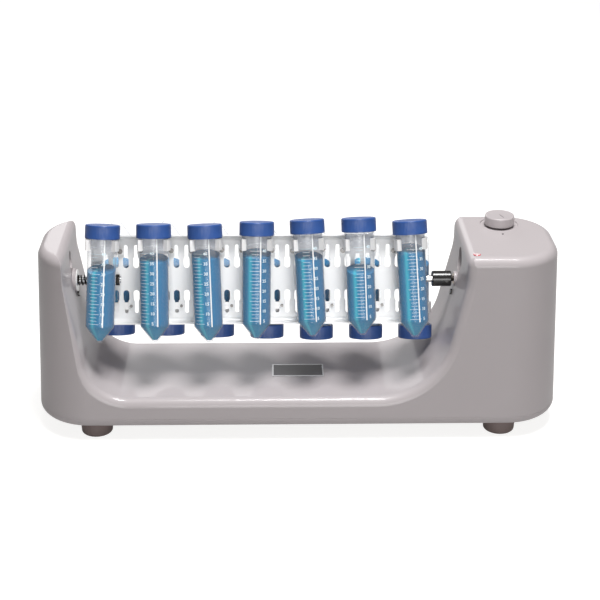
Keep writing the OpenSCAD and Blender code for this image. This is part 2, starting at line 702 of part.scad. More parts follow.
// Screws in the frame of a clip: head on the wing, shank through the plate
module clip_screw_pair(base_y, at, sides, d, head_d = 0) {
    for (s = sides) translate([s * clip_screw_gap / 2, base_y - clip_foot_t, at]) rotate([-90, 0, 0]) {
        cylinder(h = clip_foot_t + plate_t + 1.5, d = d);
        if (head_d > 0) translate([0, 0, -1.8]) cylinder(h = 1.8, d = head_d);
    }
}
module clip_screws() color([0.5, 0.5, 0.52]) for (k = [1 : tube_count]) {
    at_front(k) clip_screw_pair(front_base - eps, front_clip_at - front_wing_drop,
        wing_sides(front_x(k)), clip_screw_d, 5);
    at_rear(k) clip_screw_pair(rear_base - eps, rear_clip_at - rear_wing_drop,
        wing_sides(rear_x(k)), clip_screw_d, 5);
}
// The same screws' holes, cut in the rotor frame
module clip_screw_holes() {
    for (k = [1 : tube_count]) {
        translate([front_x(k), -front_out, front_clip_at]) rotate([0, front_lean[k - 1], 0])
            translate([0, 0, -front_clip_at])
            clip_screw_pair(front_base, front_clip_at - front_wing_drop, wing_sides(front_x(k)),
                clip_screw_d + 2 * fit);
        translate([rear_x(k), rear_out, 0]) rotate([180, 0, 0])
            clip_screw_pair(rear_base, rear_clip_at - rear_wing_drop, wing_sides(rear_x(k)),
                clip_screw_d + 2 * fit);
    }
}

// ---------- Drive ----------
set_screw_d = 3;
set_screw_x = coupling_x1 - coupling_l / 4;
module set_screw_bores(d, r0, r1) {
    for (a = [0, 90]) translate([set_screw_x, 0, axis_z]) rotate([a, 0, 0]) translate([0, 0, r0])
        cylinder(h = r1 - r0, d = d);
}
module coupling() color([0.1, 0.1, 0.1]) difference() {
    union() {
        along_x(coupling_x0 + 1, coupling_x1 - 1, coupling_d);
        along_x(coupling_x0, coupling_x1, coupling_d - 2);
        for (x = [coupling_x0 + 1, coupling_x1 - 1]) translate([x, 0, axis_z]) rotate([0, 90, 0])
            rotate_extrude() translate([coupling_d / 2 - 1, 0]) circle(r = 1);
    }
    along_x(coupling_x0 - 1, coupling_x0 + coupling_l / 2, stub_d + 2 * fit);
    along_x(coupling_x0 + coupling_l / 2 + 1, coupling_x1 + 1, drive_shaft_d);
    set_screw_bores(set_screw_d + 2 * fit, 0, coupling_d);
}
module coupling_screws() color([0.25, 0.25, 0.27])
    set_screw_bores(set_screw_d, drive_shaft_d / 2 + fit, coupling_d / 2 - 0.4);

gearbox_x0 = bracket_x + bracket_t;
module drive_shaft() color([0.65, 0.65, 0.68])
    along_x(coupling_x0 + coupling_l / 2 + 1, gearbox_x0 + 6, drive_shaft_d);

drive_bush_x1 = drive_face_x + wall + 2.5;
module drive_bush() color([0.75, 0.6, 0.3]) difference() {
    along_x(drive_pad_x, drive_bush_x1, drive_bush_d - 2 * fit);
    along_x(drive_pad_x - 1, drive_bush_x1 + 1, drive_shaft_d + 2 * fit);
}

module gearbox() color([0.72, 0.72, 0.74]) difference() {
    union() {
        along_x(gearbox_x0, gearbox_x0 + gearbox_l, gearbox_d);
        along_x(gearbox_x0 - bracket_t, gearbox_x0, 12);
    }
    along_x(gearbox_x0 - bracket_t - 1, gearbox_x0 + 8, drive_shaft_d + 2 * fit);
}
motor_x0 = gearbox_x0 + gearbox_l;
module motor() color([0.55, 0.55, 0.57]) {
    along_x(motor_x0, motor_x0 + motor_l, motor_d);
    along_x(motor_x0 + motor_l, motor_x0 + motor_l + 3, 10);
    for (s = [-1, 1]) translate([motor_x0 + motor_l, s * 10 - 1.5, axis_z - 0.5]) cube([5, 3, 1]);
}
bracket_edge = 5;
module motor_bracket() color([0.7, 0.7, 0.72]) difference() {
    w = motor_boss_gap + 2 * bracket_edge;
    translate([bracket_x, -w / 2, axis_z - w / 2]) cube([bracket_t, w, w]);
    along_x(bracket_x - 1, gearbox_x0 + 1, 12 + 2 * fit);
    for (p = motor_boss_spots) translate([bracket_x - 1, p[0], axis_z + p[1]]) rotate([0, 90, 0])
        cylinder(h = bracket_t + 2, d = wall_screw_d + 2 * fit);
}
module bracket_screws() color("silver") {
    for (p = motor_boss_spots) translate([bracket_x - 5.5, p[0], axis_z + p[1]]) rotate([0, 90, 0]) {
        cylinder(h = 5.5 + bracket_t, d = wall_screw_d);
        translate([0, 0, 5.5 + bracket_t]) cylinder(h = 2, d = 5.6);
    }
    for (s = [-1, 1]) bracket_screw(s, wall_screw_d, 5.6);
}

// ---------- Controls and power ----------
pot_spindle_d = 6;
module speed_pot() color([0.3, 0.32, 0.34]) translate([knob_x, knob_y, 0]) difference() {
    union() {
        translate([0, 0, top_z - wall - 10]) cylinder(h = 10, d = 17);
        translate([0, 0, top_z - wall - 1]) cylinder(h = wall + 1 - recess_h + 1.5, d = pot_bore_d);
        translate([-6, 0, top_z - wall - 8]) cube([12, 12, 4]);
    }
    translate([0, 0, top_z - wall - 8]) cylinder(h = 2 * wall + 8, d = pot_spindle_d + 2 * fit);
}
knob_z0 = top_z - recess_h + 2;
module speed_knob() color([0.66, 0.63, 0.64]) translate([knob_x, knob_y, 0]) {
    r = knob_d / 2;
    z1 = top_z + knob_rise;
    difference() {
        rotate_extrude() union() {
            polygon([[0, knob_z0], [r, knob_z0], [r - 0.4, z1 - 1.5], [r - 1.9, z1], [0, z1]]);
            translate([r - 1.9, z1 - 1.5]) circle(r = 1.5);
        }
        translate([0, 0, knob_z0 - 1]) cylinder(h = z1 - knob_z0 - 2, d = pot_spindle_d);
    }
    translate([0, 0, top_z - wall - 7]) cylinder(h = z1 - 3 - top_z + wall + 7, d = pot_spindle_d);
}

board_z = deck_z + 10;
board_size = [60, 56, 1.6];
board_mid = [206, 0];
board_spots = [for (sx = [-1, 1]) for (sy = [-1, 1])
    board_mid + [sx * (board_size[0] / 2 - 4), sy * (board_size[1] / 2 - 4)]];
module circuit_board() color([0.1, 0.4, 0.2]) translate([board_mid[0], board_mid[1], board_z]) {
    translate([-board_size[0] / 2, -board_size[1] / 2, 0]) cube(board_size);
    for (s = [0, 1]) translate([-18 + 13 * s, -12, board_size[2]]) cylinder(h = 16, d = 10);
    translate([8, -20, board_size[2]]) cube([14, 8, 18]);
    translate([-10, 6, board_size[2]]) cube([20, 12, 4]);
    translate([14, 4, board_size[2]]) cube([10, 18, 9]);
}
supply_size = [38, 52, 26];
supply_x = 132;
module power_supply() color([0.35, 0.36, 0.38]) translate([supply_x, -supply_size[1] / 2, deck_z]) {
    cube(supply_size);
    for (s = [0, 1]) translate([6, s ? supply_size[1] : -6, 0]) cube([supply_size[0] - 12, 6, 2]);
}

module run_lamp() color([0.85, 0.15, 0.12]) translate([lamp_x, lamp_y, 0]) {
    translate([0, 0, top_z]) rotate_extrude() intersection() {
        translate([0, -lamp_d]) circle(r = sqrt(2) * lamp_d - 1.9);
        square([lamp_d / 2, lamp_d]);
    }
    translate([0, 0, top_z - wall - 4]) cylinder(h = wall + 4.5, d = lamp_stem_d);
}

bezel_t = 1.6;
rocker_l = 17;
rocker_w = 9;
rocker_pivot = -2;
rocker_throw = 7;
module power_switch() color([0.08, 0.08, 0.08]) on_side() difference() {
    union() {
        translate([0, 0, bezel_t / 2 + fit]) cube([switch_l, switch_w, bezel_t], center = true);
        translate([0, 0, -8]) cube([switch_l - 2 - 2 * gap, switch_w - 2 - 2 * gap, 17.4], center = true);
    }
    translate([0, 0, 0]) cube([rocker_l + 1.6, rocker_w + 0.8, 17], center = true);
}
module power_rocker() color([0.1, 0.1, 0.1]) on_side()
    translate([0, 0, rocker_pivot]) rotate([0, -rocker_throw, 0])
    rotate([90, 0, 0]) linear_extrude(rocker_w, center = true) union() {
        polygon([[-rocker_l / 2, -1.5], [-rocker_l / 2, 4.2], [0, 3.2], [rocker_l / 2, 4.2],
            [rocker_l / 2, -1.5],
                 [0, -4]]);
    }

inlet_flange = [31.5, 25, 1.6];
inlet_depth = 16;
pin_l = 10.5;
module power_inlet() color([0.07, 0.07, 0.07]) on_back() {
    difference() {
        union() {
            translate([0, 0, inlet_flange[2] / 2 + fit]) cube(inlet_flange, center = true);
            translate([0, 0, fit - inlet_depth / 2]) cube([inlet_w, inlet_l, inlet_depth + 3], center = true);
        }
        translate([0, 0, inlet_flange[2] + fit - inlet_depth / 2])
            cube([inlet_w - 4, inlet_l - 4, inlet_depth + eps], center = true);
    }
    for (p = [[-7, 2], [0, -3], [7, 2]])
        translate([p[0], p[1], inlet_flange[2] - inlet_depth - 1 + pin_l / 2])
        cube([2, 4, pin_l], center = true);
}

housing();
base_tray();
base_screws();
feet();
floor_plate();
idler_bush();
idler_bracket();
idler_washer();
idler_spring();
idler_shaft();
rotor_nuts();
rotor_plate();
drive_stub();
front_clips();
rear_clips();
clip_screws();
coupling();
coupling_screws();
drive_shaft();
drive_bush();
gearbox();
motor();
motor_bracket();
bracket_screws();
speed_pot();
speed_knob();
circuit_board();
power_supply();
run_lamp();
power_switch();
power_rocker();
power_inlet();
for (k = [1 : tube_count]) {
    front_tube(k);
    rear_tube(k);
    front_cap(k);
    rear_cap(k);
}
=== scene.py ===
"""Tube rotator: the finished surfaces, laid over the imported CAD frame.

X runs along the rotor axis towards the drive tower, -Y to the front and Z up from the bench.
Lengths are in metres. Each operator makes one piece, or one group of like pieces.
"""
import json
import math

import bmesh
import bpy
import numpy as np
from bpy.props import FloatProperty, FloatVectorProperty, IntProperty, PointerProperty
from mathutils import Matrix, Vector


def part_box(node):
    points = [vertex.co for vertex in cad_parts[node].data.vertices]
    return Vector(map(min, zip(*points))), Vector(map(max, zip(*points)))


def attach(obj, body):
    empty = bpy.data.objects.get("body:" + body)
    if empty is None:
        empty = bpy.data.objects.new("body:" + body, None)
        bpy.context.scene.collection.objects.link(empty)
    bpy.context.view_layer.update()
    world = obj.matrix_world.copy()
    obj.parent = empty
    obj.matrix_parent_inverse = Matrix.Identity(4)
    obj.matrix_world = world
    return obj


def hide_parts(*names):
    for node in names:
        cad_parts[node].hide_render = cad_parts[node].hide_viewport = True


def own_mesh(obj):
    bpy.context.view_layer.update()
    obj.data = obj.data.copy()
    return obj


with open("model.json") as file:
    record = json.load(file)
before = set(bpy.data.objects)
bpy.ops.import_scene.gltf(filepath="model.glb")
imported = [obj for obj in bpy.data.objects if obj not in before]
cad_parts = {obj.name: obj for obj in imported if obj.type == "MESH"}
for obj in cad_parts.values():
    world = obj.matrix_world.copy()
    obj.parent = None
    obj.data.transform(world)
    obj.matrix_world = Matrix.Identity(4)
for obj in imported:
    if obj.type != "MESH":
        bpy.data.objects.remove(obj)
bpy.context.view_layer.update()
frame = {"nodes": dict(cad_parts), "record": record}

bl_info = {
    "name": "Tube rotator",
    "version": (1, 0, 0),
    "blender": (4, 5, 0),
    "location": "3D View > Sidebar > Tube Rotator",
    "description": "Makes the finished surfaces of a bench tube rotator",
    "category": "Object",
}

BODY_OF = {n: b for b, nodes in frame["record"]["behaviour"]["bodies"].items() for n in nodes}
TUBES = 7
TAU = 2 * math.pi


# ---------- settings ----------
def length_prop(name, default, about):
    return FloatProperty(name=name, description=about, default=default, unit="LENGTH")


def angle_prop(name, degrees, about):
    return FloatProperty(name=name, description=about, default=math.radians(degrees), subtype="ANGLE")


def colour_prop(name, default, about):
    return FloatVectorProperty(name=name, description=about, default=default, subtype="COLOR", size=3,
                               min=0, max=1)


class HousingSettings(bpy.types.PropertyGroup):
    width: length_prop("Width", 0.520, "Length of the body along the rotor axis")
    depth: length_prop("Depth", 0.138, "Body from front to back")
    height: length_prop("Height", 0.1742, "Body without its feet")
    foot_height: length_prop("Foot height", 0.0145, "Clearance under the body")
    draft: angle_prop("Draft", 2.8, "Slope of the side faces")
    corner: length_prop("Corner radius", 0.0545, "Radius of the upright corners")
    edge: length_prop("Top edge radius", 0.009, "Rounding of the top edges")
    rim: length_prop("Rim radius", 0.009, "Rounding where the cradle meets front and back")
    wall: length_prop("Wall", 0.0035, "Thickness of the moulding")
    tray: length_prop("Tray height", 0.0095, "Height of the base tray's side")
    lower_edge: length_prop("Lower edge radius", 0.0085, "Rounding under the tray")
    floor: length_prop("Cradle floor", 0.0297, "Height of the cradle's floor above the body's base")
    upright: length_prop("Upright height", 0.1532, "Where the inner walls turn upright")
    seam: length_prop("Seam", 0.0002, "Chamfer on either side of the parting line")
    colour: colour_prop("Colour", (0.425, 0.388, 0.394), "Moulding colour")


class RotorSettings(bpy.types.PropertyGroup):
    axis_height: length_prop("Axis height", 0.1437, "Rotor axis above the bench")
    tilt: angle_prop("Tilt", 17.4, "How far the rotor's top leans back at rest")
    pitch: length_prop("Tube pitch", 0.050, "Distance between neighbouring tubes")
    front_middle: length_prop("Front middle", -0.0407, "X of the front row's fourth tube")
    rear_step: length_prop("Rear step", 0.0095, "Sideways step of the rear row")
    front_out: length_prop("Front reach", 0.0205, "Axis to front tubes")
    rear_out: length_prop("Rear reach", 0.0248, "Axis to rear tubes")
    sheet: colour_prop("Sheet colour", (0.90, 0.895, 0.885), "Colour of the rotor plate")


class TubeSettings(bpy.types.PropertyGroup):
    length: length_prop("Length", 0.115, "Tube with its cap")
    diameter: length_prop("Diameter", 0.0284, "Outside of the tube")
    cone: length_prop("Cone", 0.015, "Height of the tip's cone")
    tip: length_prop("Tip radius", 0.0032, "Radius of the flat tip")
    cap_diameter: length_prop("Cap diameter", 0.034, "Over the ribs")
    cap_height: length_prop("Cap height", 0.0135, "Height of the cap")
    ribs: IntProperty(name="Ribs", description="Grip ribs round a cap", default=72, min=12)
    scale_step: length_prop("Scale step", 0.00975, "Between the scale's numbers")
    liquid: colour_prop("Liquid", (0.004, 0.185, 0.38), "Colour of the samples")
    cap: colour_prop("Cap colour", (0.030, 0.088, 0.30), "Colour of the caps")


class StageSettings(bpy.types.PropertyGroup):
    lens: FloatProperty(name="Focal length", description="Focal length in millimetres", default=85.31)
    distance: length_prop("Distance", 1.41897, "Camera to aim point")
    yaw: angle_prop("Yaw", 1.443, "Turn about the upright axis")
    pitch: angle_prop("Pitch", 24.231, "How far the camera looks down")
    roll: angle_prop("Roll", -0.308, "Turn about the line of sight")


# How each tube was put in by hand: lean and lift of the front row, lift of the rear row
FRONT_LEAN = np.radians([2.7, 0.1, -1.8, 0.6, -2.8, -2.2, -3.4])
FRONT_LIFT = np.array([-1.5, -1, -1.5, 1, 3, 4.5, 2]) / 1000
REAR_LIFT = np.array([0.5, 0, -2, -3.5, -5, -5, -5]) / 1000
FRONT_CLIP_AT = 0.0365      # the clip that a front tube leans about, above the rotor axis
# Height of the liquid's surface above the bench in each tube
FRONT_LEVEL = np.array([161.6, 171.5, 175.0, 175.8, 172.8, 160.6, 179.8]) / 1000
REAR_LEVEL = np.array([150.5, 150.2, 149.9, 149.7, 149.6, 149.4, 149.2]) / 1000
# How far each front tube was turned in its clip, to the middle of its numbers
FRONT_TURN = np.radians([13.5, -4, 0, 32, 25, 32, 36])
# Turn of the painted highlight: a bright white line on each front tube, standing for a narrow light's
# reflection
PAINTED_HIGHLIGHT_TURN = math.radians(16)

# Places on the housing, from the object's middle
KNOB_AT = (0.202, 0.033)
LAMP_AT = (0.169, -0.047)
FOOT_AT = (0.201, 0.0455)
SWITCH_UP = 0.088                               # the switch above the body's base
INLET_X, INLET_UP = 0.186, 0.044
IDLER_FACE, DRIVE_FACE = -0.220818, 0.156239    # where the rotor axis meets the cradle's walls
SCREW_DROP = 0.0145                             # the bracket screws below the rotor axis
HAIR = 5e-5                                     # by which a cutter passes the face that it opens


# ---------- mesh making ----------
def matrix(*steps):
    """Product of the steps, first one outermost."""
    out = np.eye(4)
    for m in steps:
        out = out @ np.array(m)
    return out


def moved(points, m):
    """Each point times the 4 by 4 matrix."""
    return points @ m[:3, :3].T + m[:3, 3]


def shift(x=0.0, y=0.0, z=0.0):
    return Matrix.Translation((x, y, z))


def turn(angle, axis):
    return Matrix.Rotation(angle, 4, axis)


def ring_faces(rings, count, first=0):
    """Quads that join neighbouring closed rings of count points."""
    i = np.arange(count)
    j = (i + 1) % count
    base = (np.arange(rings - 1) * count + first)[:, None]
    return np.stack([base + i, base + j, base + count + j, base + count + i], -1).reshape(-1, 4)


def skin(rings):
    """Closed solid over rings of shape (m, n, 3): quads between rings and a flat face on each end."""
    m, n = rings.shape[:2]
    ends = [list(range(n))[::-1], list(range((m - 1) * n, m * n))]
    return rings.reshape(-1, 3), ring_faces(m, n).tolist() + ends


def lathe(profile, count=64, ripple=None, at=(0, 0, 0)):
    """Surface of revolution about the upright line through at: (radius * cos a, radius * sin a, height)
    for each profile pair. ripple(angle, row) is a factor on the radius."""
    profile = np.asarray(profile, float)
    a = np.linspace(0, TAU, count, endpoint=False)[None, :]
    r = profile[:, :1] + np.zeros_like(a)
    if ripple is not None:
        r = r * ripple(a, np.arange(len(profile))[:, None])
    z = profile[:, 1:] + np.zeros_like(a)
    points = np.stack([r * np.cos(a), r * np.sin(a), z], -1).reshape(-1, 3) + at
    return points, ring_faces(len(profile), count).tolist()


def arc(cx, cz, r, a0, a1, steps=6):
    """Points of a circle of radius r about (cx, cz), from angle a0 to a1 in degrees."""
    t = np.radians(np.linspace(a0, a1, steps + 1))
    return np.stack([cx + r * np.cos(t), cz + r * np.sin(t)], -1)


def to_mesh(name, verts, faces, uv=None):
    me = bpy.data.meshes.new(name)
    me.from_pydata(np.asarray(verts, float).tolist(), [], faces)
    if uv is not None:
        layer = me.uv_layers.new(name="UVMap")
        index = np.zeros(len(me.loops), np.int32)
        me.loops.foreach_get("vertex_index", index)
        layer.data.foreach_set("uv", np.asarray(uv, np.float32)[index].ravel())
    me.update()
    return me


def tidy(me, merge=1e-6, outward=True):
    """Merges doubled points, drops faces without area and turns every face outwards."""
    b = bmesh.new()
    b.from_mesh(me)
    bmesh.ops.remove_doubles(b, verts=b.verts, dist=merge)
    bmesh.ops.dissolve_degenerate(b, edges=b.edges, dist=merge / 10)
    if outward:
        bmesh.ops.recalc_face_normals(b, faces=b.faces)
    b.to_mesh(me)
    b.free()
    me.update()


def smooth(obj, angle=35.0):
    """Smooth shading, with edges sharper than angle kept."""
    me = obj.data
    me.shade_smooth()
    me.set_sharp_from_angle(angle=math.radians(angle))


def settle(obj):
    """Applies every modifier, so the mesh holds the finished shape."""
    me = bpy.data.meshes.new_from_object(obj.evaluated_get(bpy.context.evaluated_depsgraph_get()))
    obj.modifiers.clear()
    old, obj.data = obj.data, me
    me.name = old.name
    bpy.data.meshes.remove(old)


def link(name, me):
    obj = bpy.data.objects.new(name, me)
    bpy.context.scene.collection.objects.link(obj)
    return obj


def piece(name, verts, faces, mat, body, slot, angle=35.0, uv=None, nodes=(), merge=1e-6):
    """A finished piece: its mesh, material, body and the CAD nodes that it stands for."""
    me = to_mesh(name, verts, faces, uv)
    tidy(me, merge)
    obj = link(name, me)
    smooth(obj, angle)
    me.materials.append(MATS[mat])
    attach(obj, body)
    if nodes:
        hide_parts(*nodes)
    return obj


def join_parts(parts):
    """Several (verts, faces) as one."""
    verts, faces, first = [], [], 0
    for v, f in parts:
        verts.append(np.asarray(v, float))
        faces += [[i + first for i in face] for face in f]
        first += len(v)
    return np.concatenate(verts), faces


def cut_by(obj, other, operation="DIFFERENCE"):
    """Cuts another object out of obj, or adds it, and removes that object."""
    mod = obj.modifiers.new("cut", "BOOLEAN")
    mod.operation, mod.solver, mod.object = operation, "EXACT", other
    settle(obj)
    bpy.data.objects.remove(other)


def boolean(obj, parts, operation="DIFFERENCE"):
    """Cuts the parts out of obj one after the other, or adds them."""
    for part in parts:
        cutter = link("cutter", to_mesh("cutter", *part))
        tidy(cutter.data)
        cut_by(obj, cutter, operation)


def weighted(obj, mat, angle=30.0):
    """Normals weighted by face area, so that big flat faces shade flat, and one material throughout."""
    smooth(obj, angle)
    mod = obj.modifiers.new("weighted", "WEIGHTED_NORMAL")
    mod.keep_sharp, mod.weight, mod.mode = True, 50, "FACE_AREA"
    settle(obj)
    obj.data.materials.clear()
    obj.data.materials.append(MATS[mat])


def from_node(node, name, mat, slot, bevel=0.0, angle=30.0):
    """A merged copy of a CAD node with smooth curves and softened edges, which stands for the node."""
    me = frame["nodes"][node].data.copy()
    me.name = name
    me.materials.clear()
    obj = link(name, me)
    tidy(me, 2e-6, outward=False)
    if bevel:
        b = bmesh.new()
        b.from_mesh(me)
        bmesh.ops.dissolve_limit(b, angle_limit=math.radians(0.5), verts=b.verts, edges=b.edges)
        b.to_mesh(me)
        b.free()
        mod = obj.modifiers.new("bevel", "BEVEL")
        mod.width, mod.segments, mod.limit_method = bevel, 2, "ANGLE"
        mod.angle_limit = math.radians(40)
        mod.use_clamp_overlap = True
        mod.harden_normals = False
        settle(obj)
    weighted(obj, mat, angle)
    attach(obj, BODY_OF[node])
    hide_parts(node)
    return obj


def rotor_frame(r):
    """Rotor frame to bench frame: a turn about X, then up to the axis."""
    return matrix(shift(z=r.axis_height), turn(-r.tilt, "X"))


def front_frame(r, k):
    x = r.front_middle + (k - 3) * r.pitch
    return matrix(rotor_frame(r), shift(x, -r.front_out, FRONT_CLIP_AT), turn(FRONT_LEAN[k], "Y"),
                  shift(z=FRONT_LIFT[k] - FRONT_CLIP_AT))


def rear_frame(r, k):
    x = r.front_middle + r.rear_step + (k - 3) * r.pitch
    return matrix(rotor_frame(r), shift(x, r.rear_out), turn(math.pi, "X"), shift(z=-REAR_LIFT[k]))


# ---------- shader groups and materials ----------
GROUPS, MATS = {}, {}


def rgba(colour):
    return tuple(colour)[:3] + (1.0,)


def fill(tree, n, inputs):
    """Links or sets each of these inputs of a node."""
    for key, v in inputs.items():
        if isinstance(v, bpy.types.NodeSocket):
            tree.links.new(v, n.inputs[key])
        else:
            n.inputs[key].default_value = v


def node(tree, kind, inputs=None, **values):
    """A node with its properties set and its inputs filled or linked."""
    n = tree.nodes.new(kind)
    for key, v in values.items():
        setattr(n, key, v)
    fill(tree, n, inputs or {})
    return n


def maths(tree, operation, a, b=0.0, c=0.0):
    """One step of arithmetic. c counts only where the operation takes three values."""
    return node(tree, "ShaderNodeMath", {0: a, 1: b, 2: c}, operation=operation).outputs[0]


def swing(tree, value, amount):
    """A noise about its middle: (value - 0.5) times amount."""
    return maths(tree, "MULTIPLY", maths(tree, "SUBTRACT", value, 0.5), amount)


def ramp(tree, value, low, high):
    """0 at low to 1 at high, and level beyond them."""
    return node(tree, "ShaderNodeMapRange", {"Value": value, "From Min": low, "From Max": high}).outputs[0]


def blend_colour(tree, factor, a, b):
    """Mix of two colours by factor."""
    a, b = (v if isinstance(v, bpy.types.NodeSocket) else rgba(v) for v in (a, b))
    return node(tree, "ShaderNodeMix", {0: factor, 6: a, 7: b}, data_type="RGBA").outputs[2]


def place_in(tree):
    """Where the point is on the object."""
    return node(tree, "ShaderNodeTexCoord").outputs["Object"]


def split(tree, vector):
    """The three parts of a vector."""
    return node(tree, "ShaderNodeSeparateXYZ", {0: vector}).outputs


def uv_parts(tree):
    """U and V of the piece's own map."""
    return split(tree, node(tree, "ShaderNodeUVMap", uv_map="UVMap").outputs[0])[:2]


def noise(tree, at, scale, detail):
    return node(tree, "ShaderNodeTexNoise", {"Vector": at, "Scale": scale, "Detail": detail}).outputs[0]


def new_group(name, own):
    """A finish's shader group and its two ends. Colour, depth and roughness go in, with inputs of its
    own, and colour, roughness and normal come out."""
    g = bpy.data.node_groups.new(name, "ShaderNodeTree")
    common = [("Colour", "NodeSocketColor", (0.5, 0.5, 0.5, 1)), ("Depth", "NodeSocketFloat", 0.1),
              ("Rough", "NodeSocketFloat", 0.35)]
    for label, kind, value in common + own:
        g.interface.new_socket(name=label, in_out="INPUT", socket_type=kind).default_value = value
    for label, kind in (("Colour", "NodeSocketColor"), ("Roughness", "NodeSocketFloat"),
                        ("Normal", "NodeSocketVector")):
        g.interface.new_socket(name=label, in_out="OUTPUT", socket_type=kind)
    return g, g.nodes.new("NodeGroupInput"), g.nodes.new("NodeGroupOutput")


def finish_group(g, i, o, value, gloss, change, height, distance):
    """Sends out the colour at that value, the roughness swung by gloss, and a bump by height."""
    tint = node(g, "ShaderNodeHueSaturation", {"Color": i.outputs["Colour"], "Value": value})
    bump = node(g, "ShaderNodeBump", {"Strength": i.outputs["Depth"], "Distance": distance, "Height": height})
    rough = maths(g, "ADD", i.outputs["Rough"], swing(g, gloss, change))
    fill(g, o, {"Colour": tint.outputs[0], "Roughness": rough, "Normal": bump.outputs[0]})
    return g


def build_moulded():
    """Moulded skin: a fine texture, and faint mottling of colour and of gloss."""
    g, i, o = new_group("MouldedSkin", [("Mottle", "NodeSocketFloat", 0.03),
                                        ("Grain", "NodeSocketFloat", 900.0)])
    at = place_in(g)
    fine = noise(g, at, i.outputs["Grain"], 4.0)
    mottle = swing(g, noise(g, at, 14.0, 3.0), i.outputs["Mottle"])
    value = maths(g, "ADD", 1.0, maths(g, "MULTIPLY", mottle, 2.0))
    return finish_group(g, i, o, value, fine, 0.12, fine, 0.0002)


def build_turned():
    """Turned or rolled metal: fine lines stretched across one axis, with smudges in the gloss."""
    g, i, o = new_group("TurnedMetal", [("Stretch", "NodeSocketVector", (900.0, 30.0, 30.0))])
    at = place_in(g)
    stretched = node(g, "ShaderNodeVectorMath", {0: at, 1: i.outputs["Stretch"]}, operation="MULTIPLY")
    lines = noise(g, stretched.outputs[0], 1.0, 3.0)
    value = maths(g, "ADD", 0.9, maths(g, "MULTIPLY", lines, 0.2))
    return finish_group(g, i, o, value, noise(g, at, 60.0, 2.0), 0.25, lines, 0.0001)


def material(name, inputs=None):
    """A new material, its tree and its Principled shader with these inputs."""
    m = bpy.data.materials.new(name)
    m.use_nodes = True
    shader = m.node_tree.nodes["Principled BSDF"]
    fill(m.node_tree, shader, inputs or {})
    return m, m.node_tree, shader


def finished(name, group, settings, plain):
    """A material whose colour, roughness and normal come from a finish's group."""
    m, tree, shader = material(name, plain)
    g = node(tree, "ShaderNodeGroup", node_tree=GROUPS[group])
    fill(tree, g, settings)
    fill(tree, shader, {"Base Color": g.outputs["Colour"], "Roughness": g.outputs["Roughness"],
                        "Normal": g.outputs["Normal"]})
    return m


def moulded(name, colour, rough=0.35, mottle=0.03, grain=900.0, depth=0.1, coat=0.0, coat_rough=0.1,
            specular=0.5):
    """Plastic, rubber or paint with the moulded skin."""
    skin_of = {"Colour": rgba(colour), "Mottle": mottle, "Grain": grain, "Depth": depth, "Rough": rough}
    return finished(name, "MouldedSkin", skin_of, {
        "Coat Weight": coat, "Coat Roughness": coat_rough, "Specular IOR Level": specular})


def turned(name, colour, rough=0.3, stretch=(900.0, 30.0, 30.0), depth=0.15):
    """Bare metal with fine lines."""
    lines = {"Colour": rgba(colour), "Stretch": stretch, "Depth": depth, "Rough": rough}
    return finished(name, "TurnedMetal", lines, {"Metallic": 1.0})


def liquid_material(colour):
    """Dyed water behind a clear wall: painted shade darkens one side of the tube, paler at the tip, with a
    painted highlight line for the light that the round tube focuses, at a fixed place on the tube.
    That line falls off as e to the power of minus 1800 times the square of U's distance from it.
    U is the angle from the front, V the height."""
    m, tree, shader = material("dyed_liquid", {"Roughness": 0.12, "IOR": 1.33})
    u, v = uv_parts(tree)
    # Painted highlight: a pale cyan streak at a fixed place on the tube, for the light that the round tube
    # focuses.
    offset = maths(tree, "SUBTRACT", u, 0.425)
    fall = maths(tree, "MULTIPLY", maths(tree, "MULTIPLY", offset, offset), -1800.0)
    line = maths(tree, "MULTIPLY", maths(tree, "POWER", 2.718, fall), 0.75)
    painted_shade_side = tuple(c * f for c, f in zip(colour, (0.95, 0.70, 0.80)))
    pale = (colour[0] * 2.2 + 0.02, colour[1] * 1.65, colour[2] * 1.3)
    # Painted shade: the colour darkens over one side of the tube.
    body = blend_colour(tree, ramp(tree, u, 0.45, 0.62), colour, painted_shade_side)
    body = blend_colour(tree, maths(tree, "MULTIPLY", ramp(tree, v, 0.16, 0.08), 0.6), body, pale)
    body = blend_colour(tree, line, body, (0.06, 0.56, 0.68))
    wave = noise(tree, place_in(tree), 40.0, 2.0)
    body = blend_colour(tree, maths(tree, "MULTIPLY", wave, 0.18), body, pale)
    fill(tree, shader, {"Base Color": body})
    return m


def tube_material():
    """Clear polypropylene: almost clear face on and milky at the edges, with a faint haze, and fog near
    the cap by V, the height. Its shadow is a quarter as dark."""
    m, tree, shader = material("tube_plastic", {"Base Color": (0.72, 0.75, 0.81, 1), "IOR": 1.5,
                                                "Coat Weight": 0.4, "Coat Roughness": 0.04})
    haze = noise(tree, place_in(tree), 180.0, 3.0)
    facing = node(tree, "ShaderNodeLayerWeight", {"Blend": 0.35}).outputs["Facing"]
    edge = maths(tree, "MULTIPLY_ADD", maths(tree, "POWER", facing, 1.6), 0.50, 0.09)
    fog = maths(tree, "MULTIPLY", ramp(tree, uv_parts(tree)[1], 0.70, 0.84), 0.26)
    alpha = maths(tree, "ADD", maths(tree, "ADD", edge, fog), swing(tree, haze, 0.06))
    shadow = node(tree, "ShaderNodeLightPath").outputs["Is Shadow Ray"]
    thin = maths(tree, "MULTIPLY_ADD", shadow, -0.75, 1.0)
    fill(tree, shader, {"Alpha": maths(tree, "MULTIPLY", alpha, thin),
                        "Roughness": maths(tree, "MULTIPLY_ADD", haze, 0.10, 0.05)})
    return m


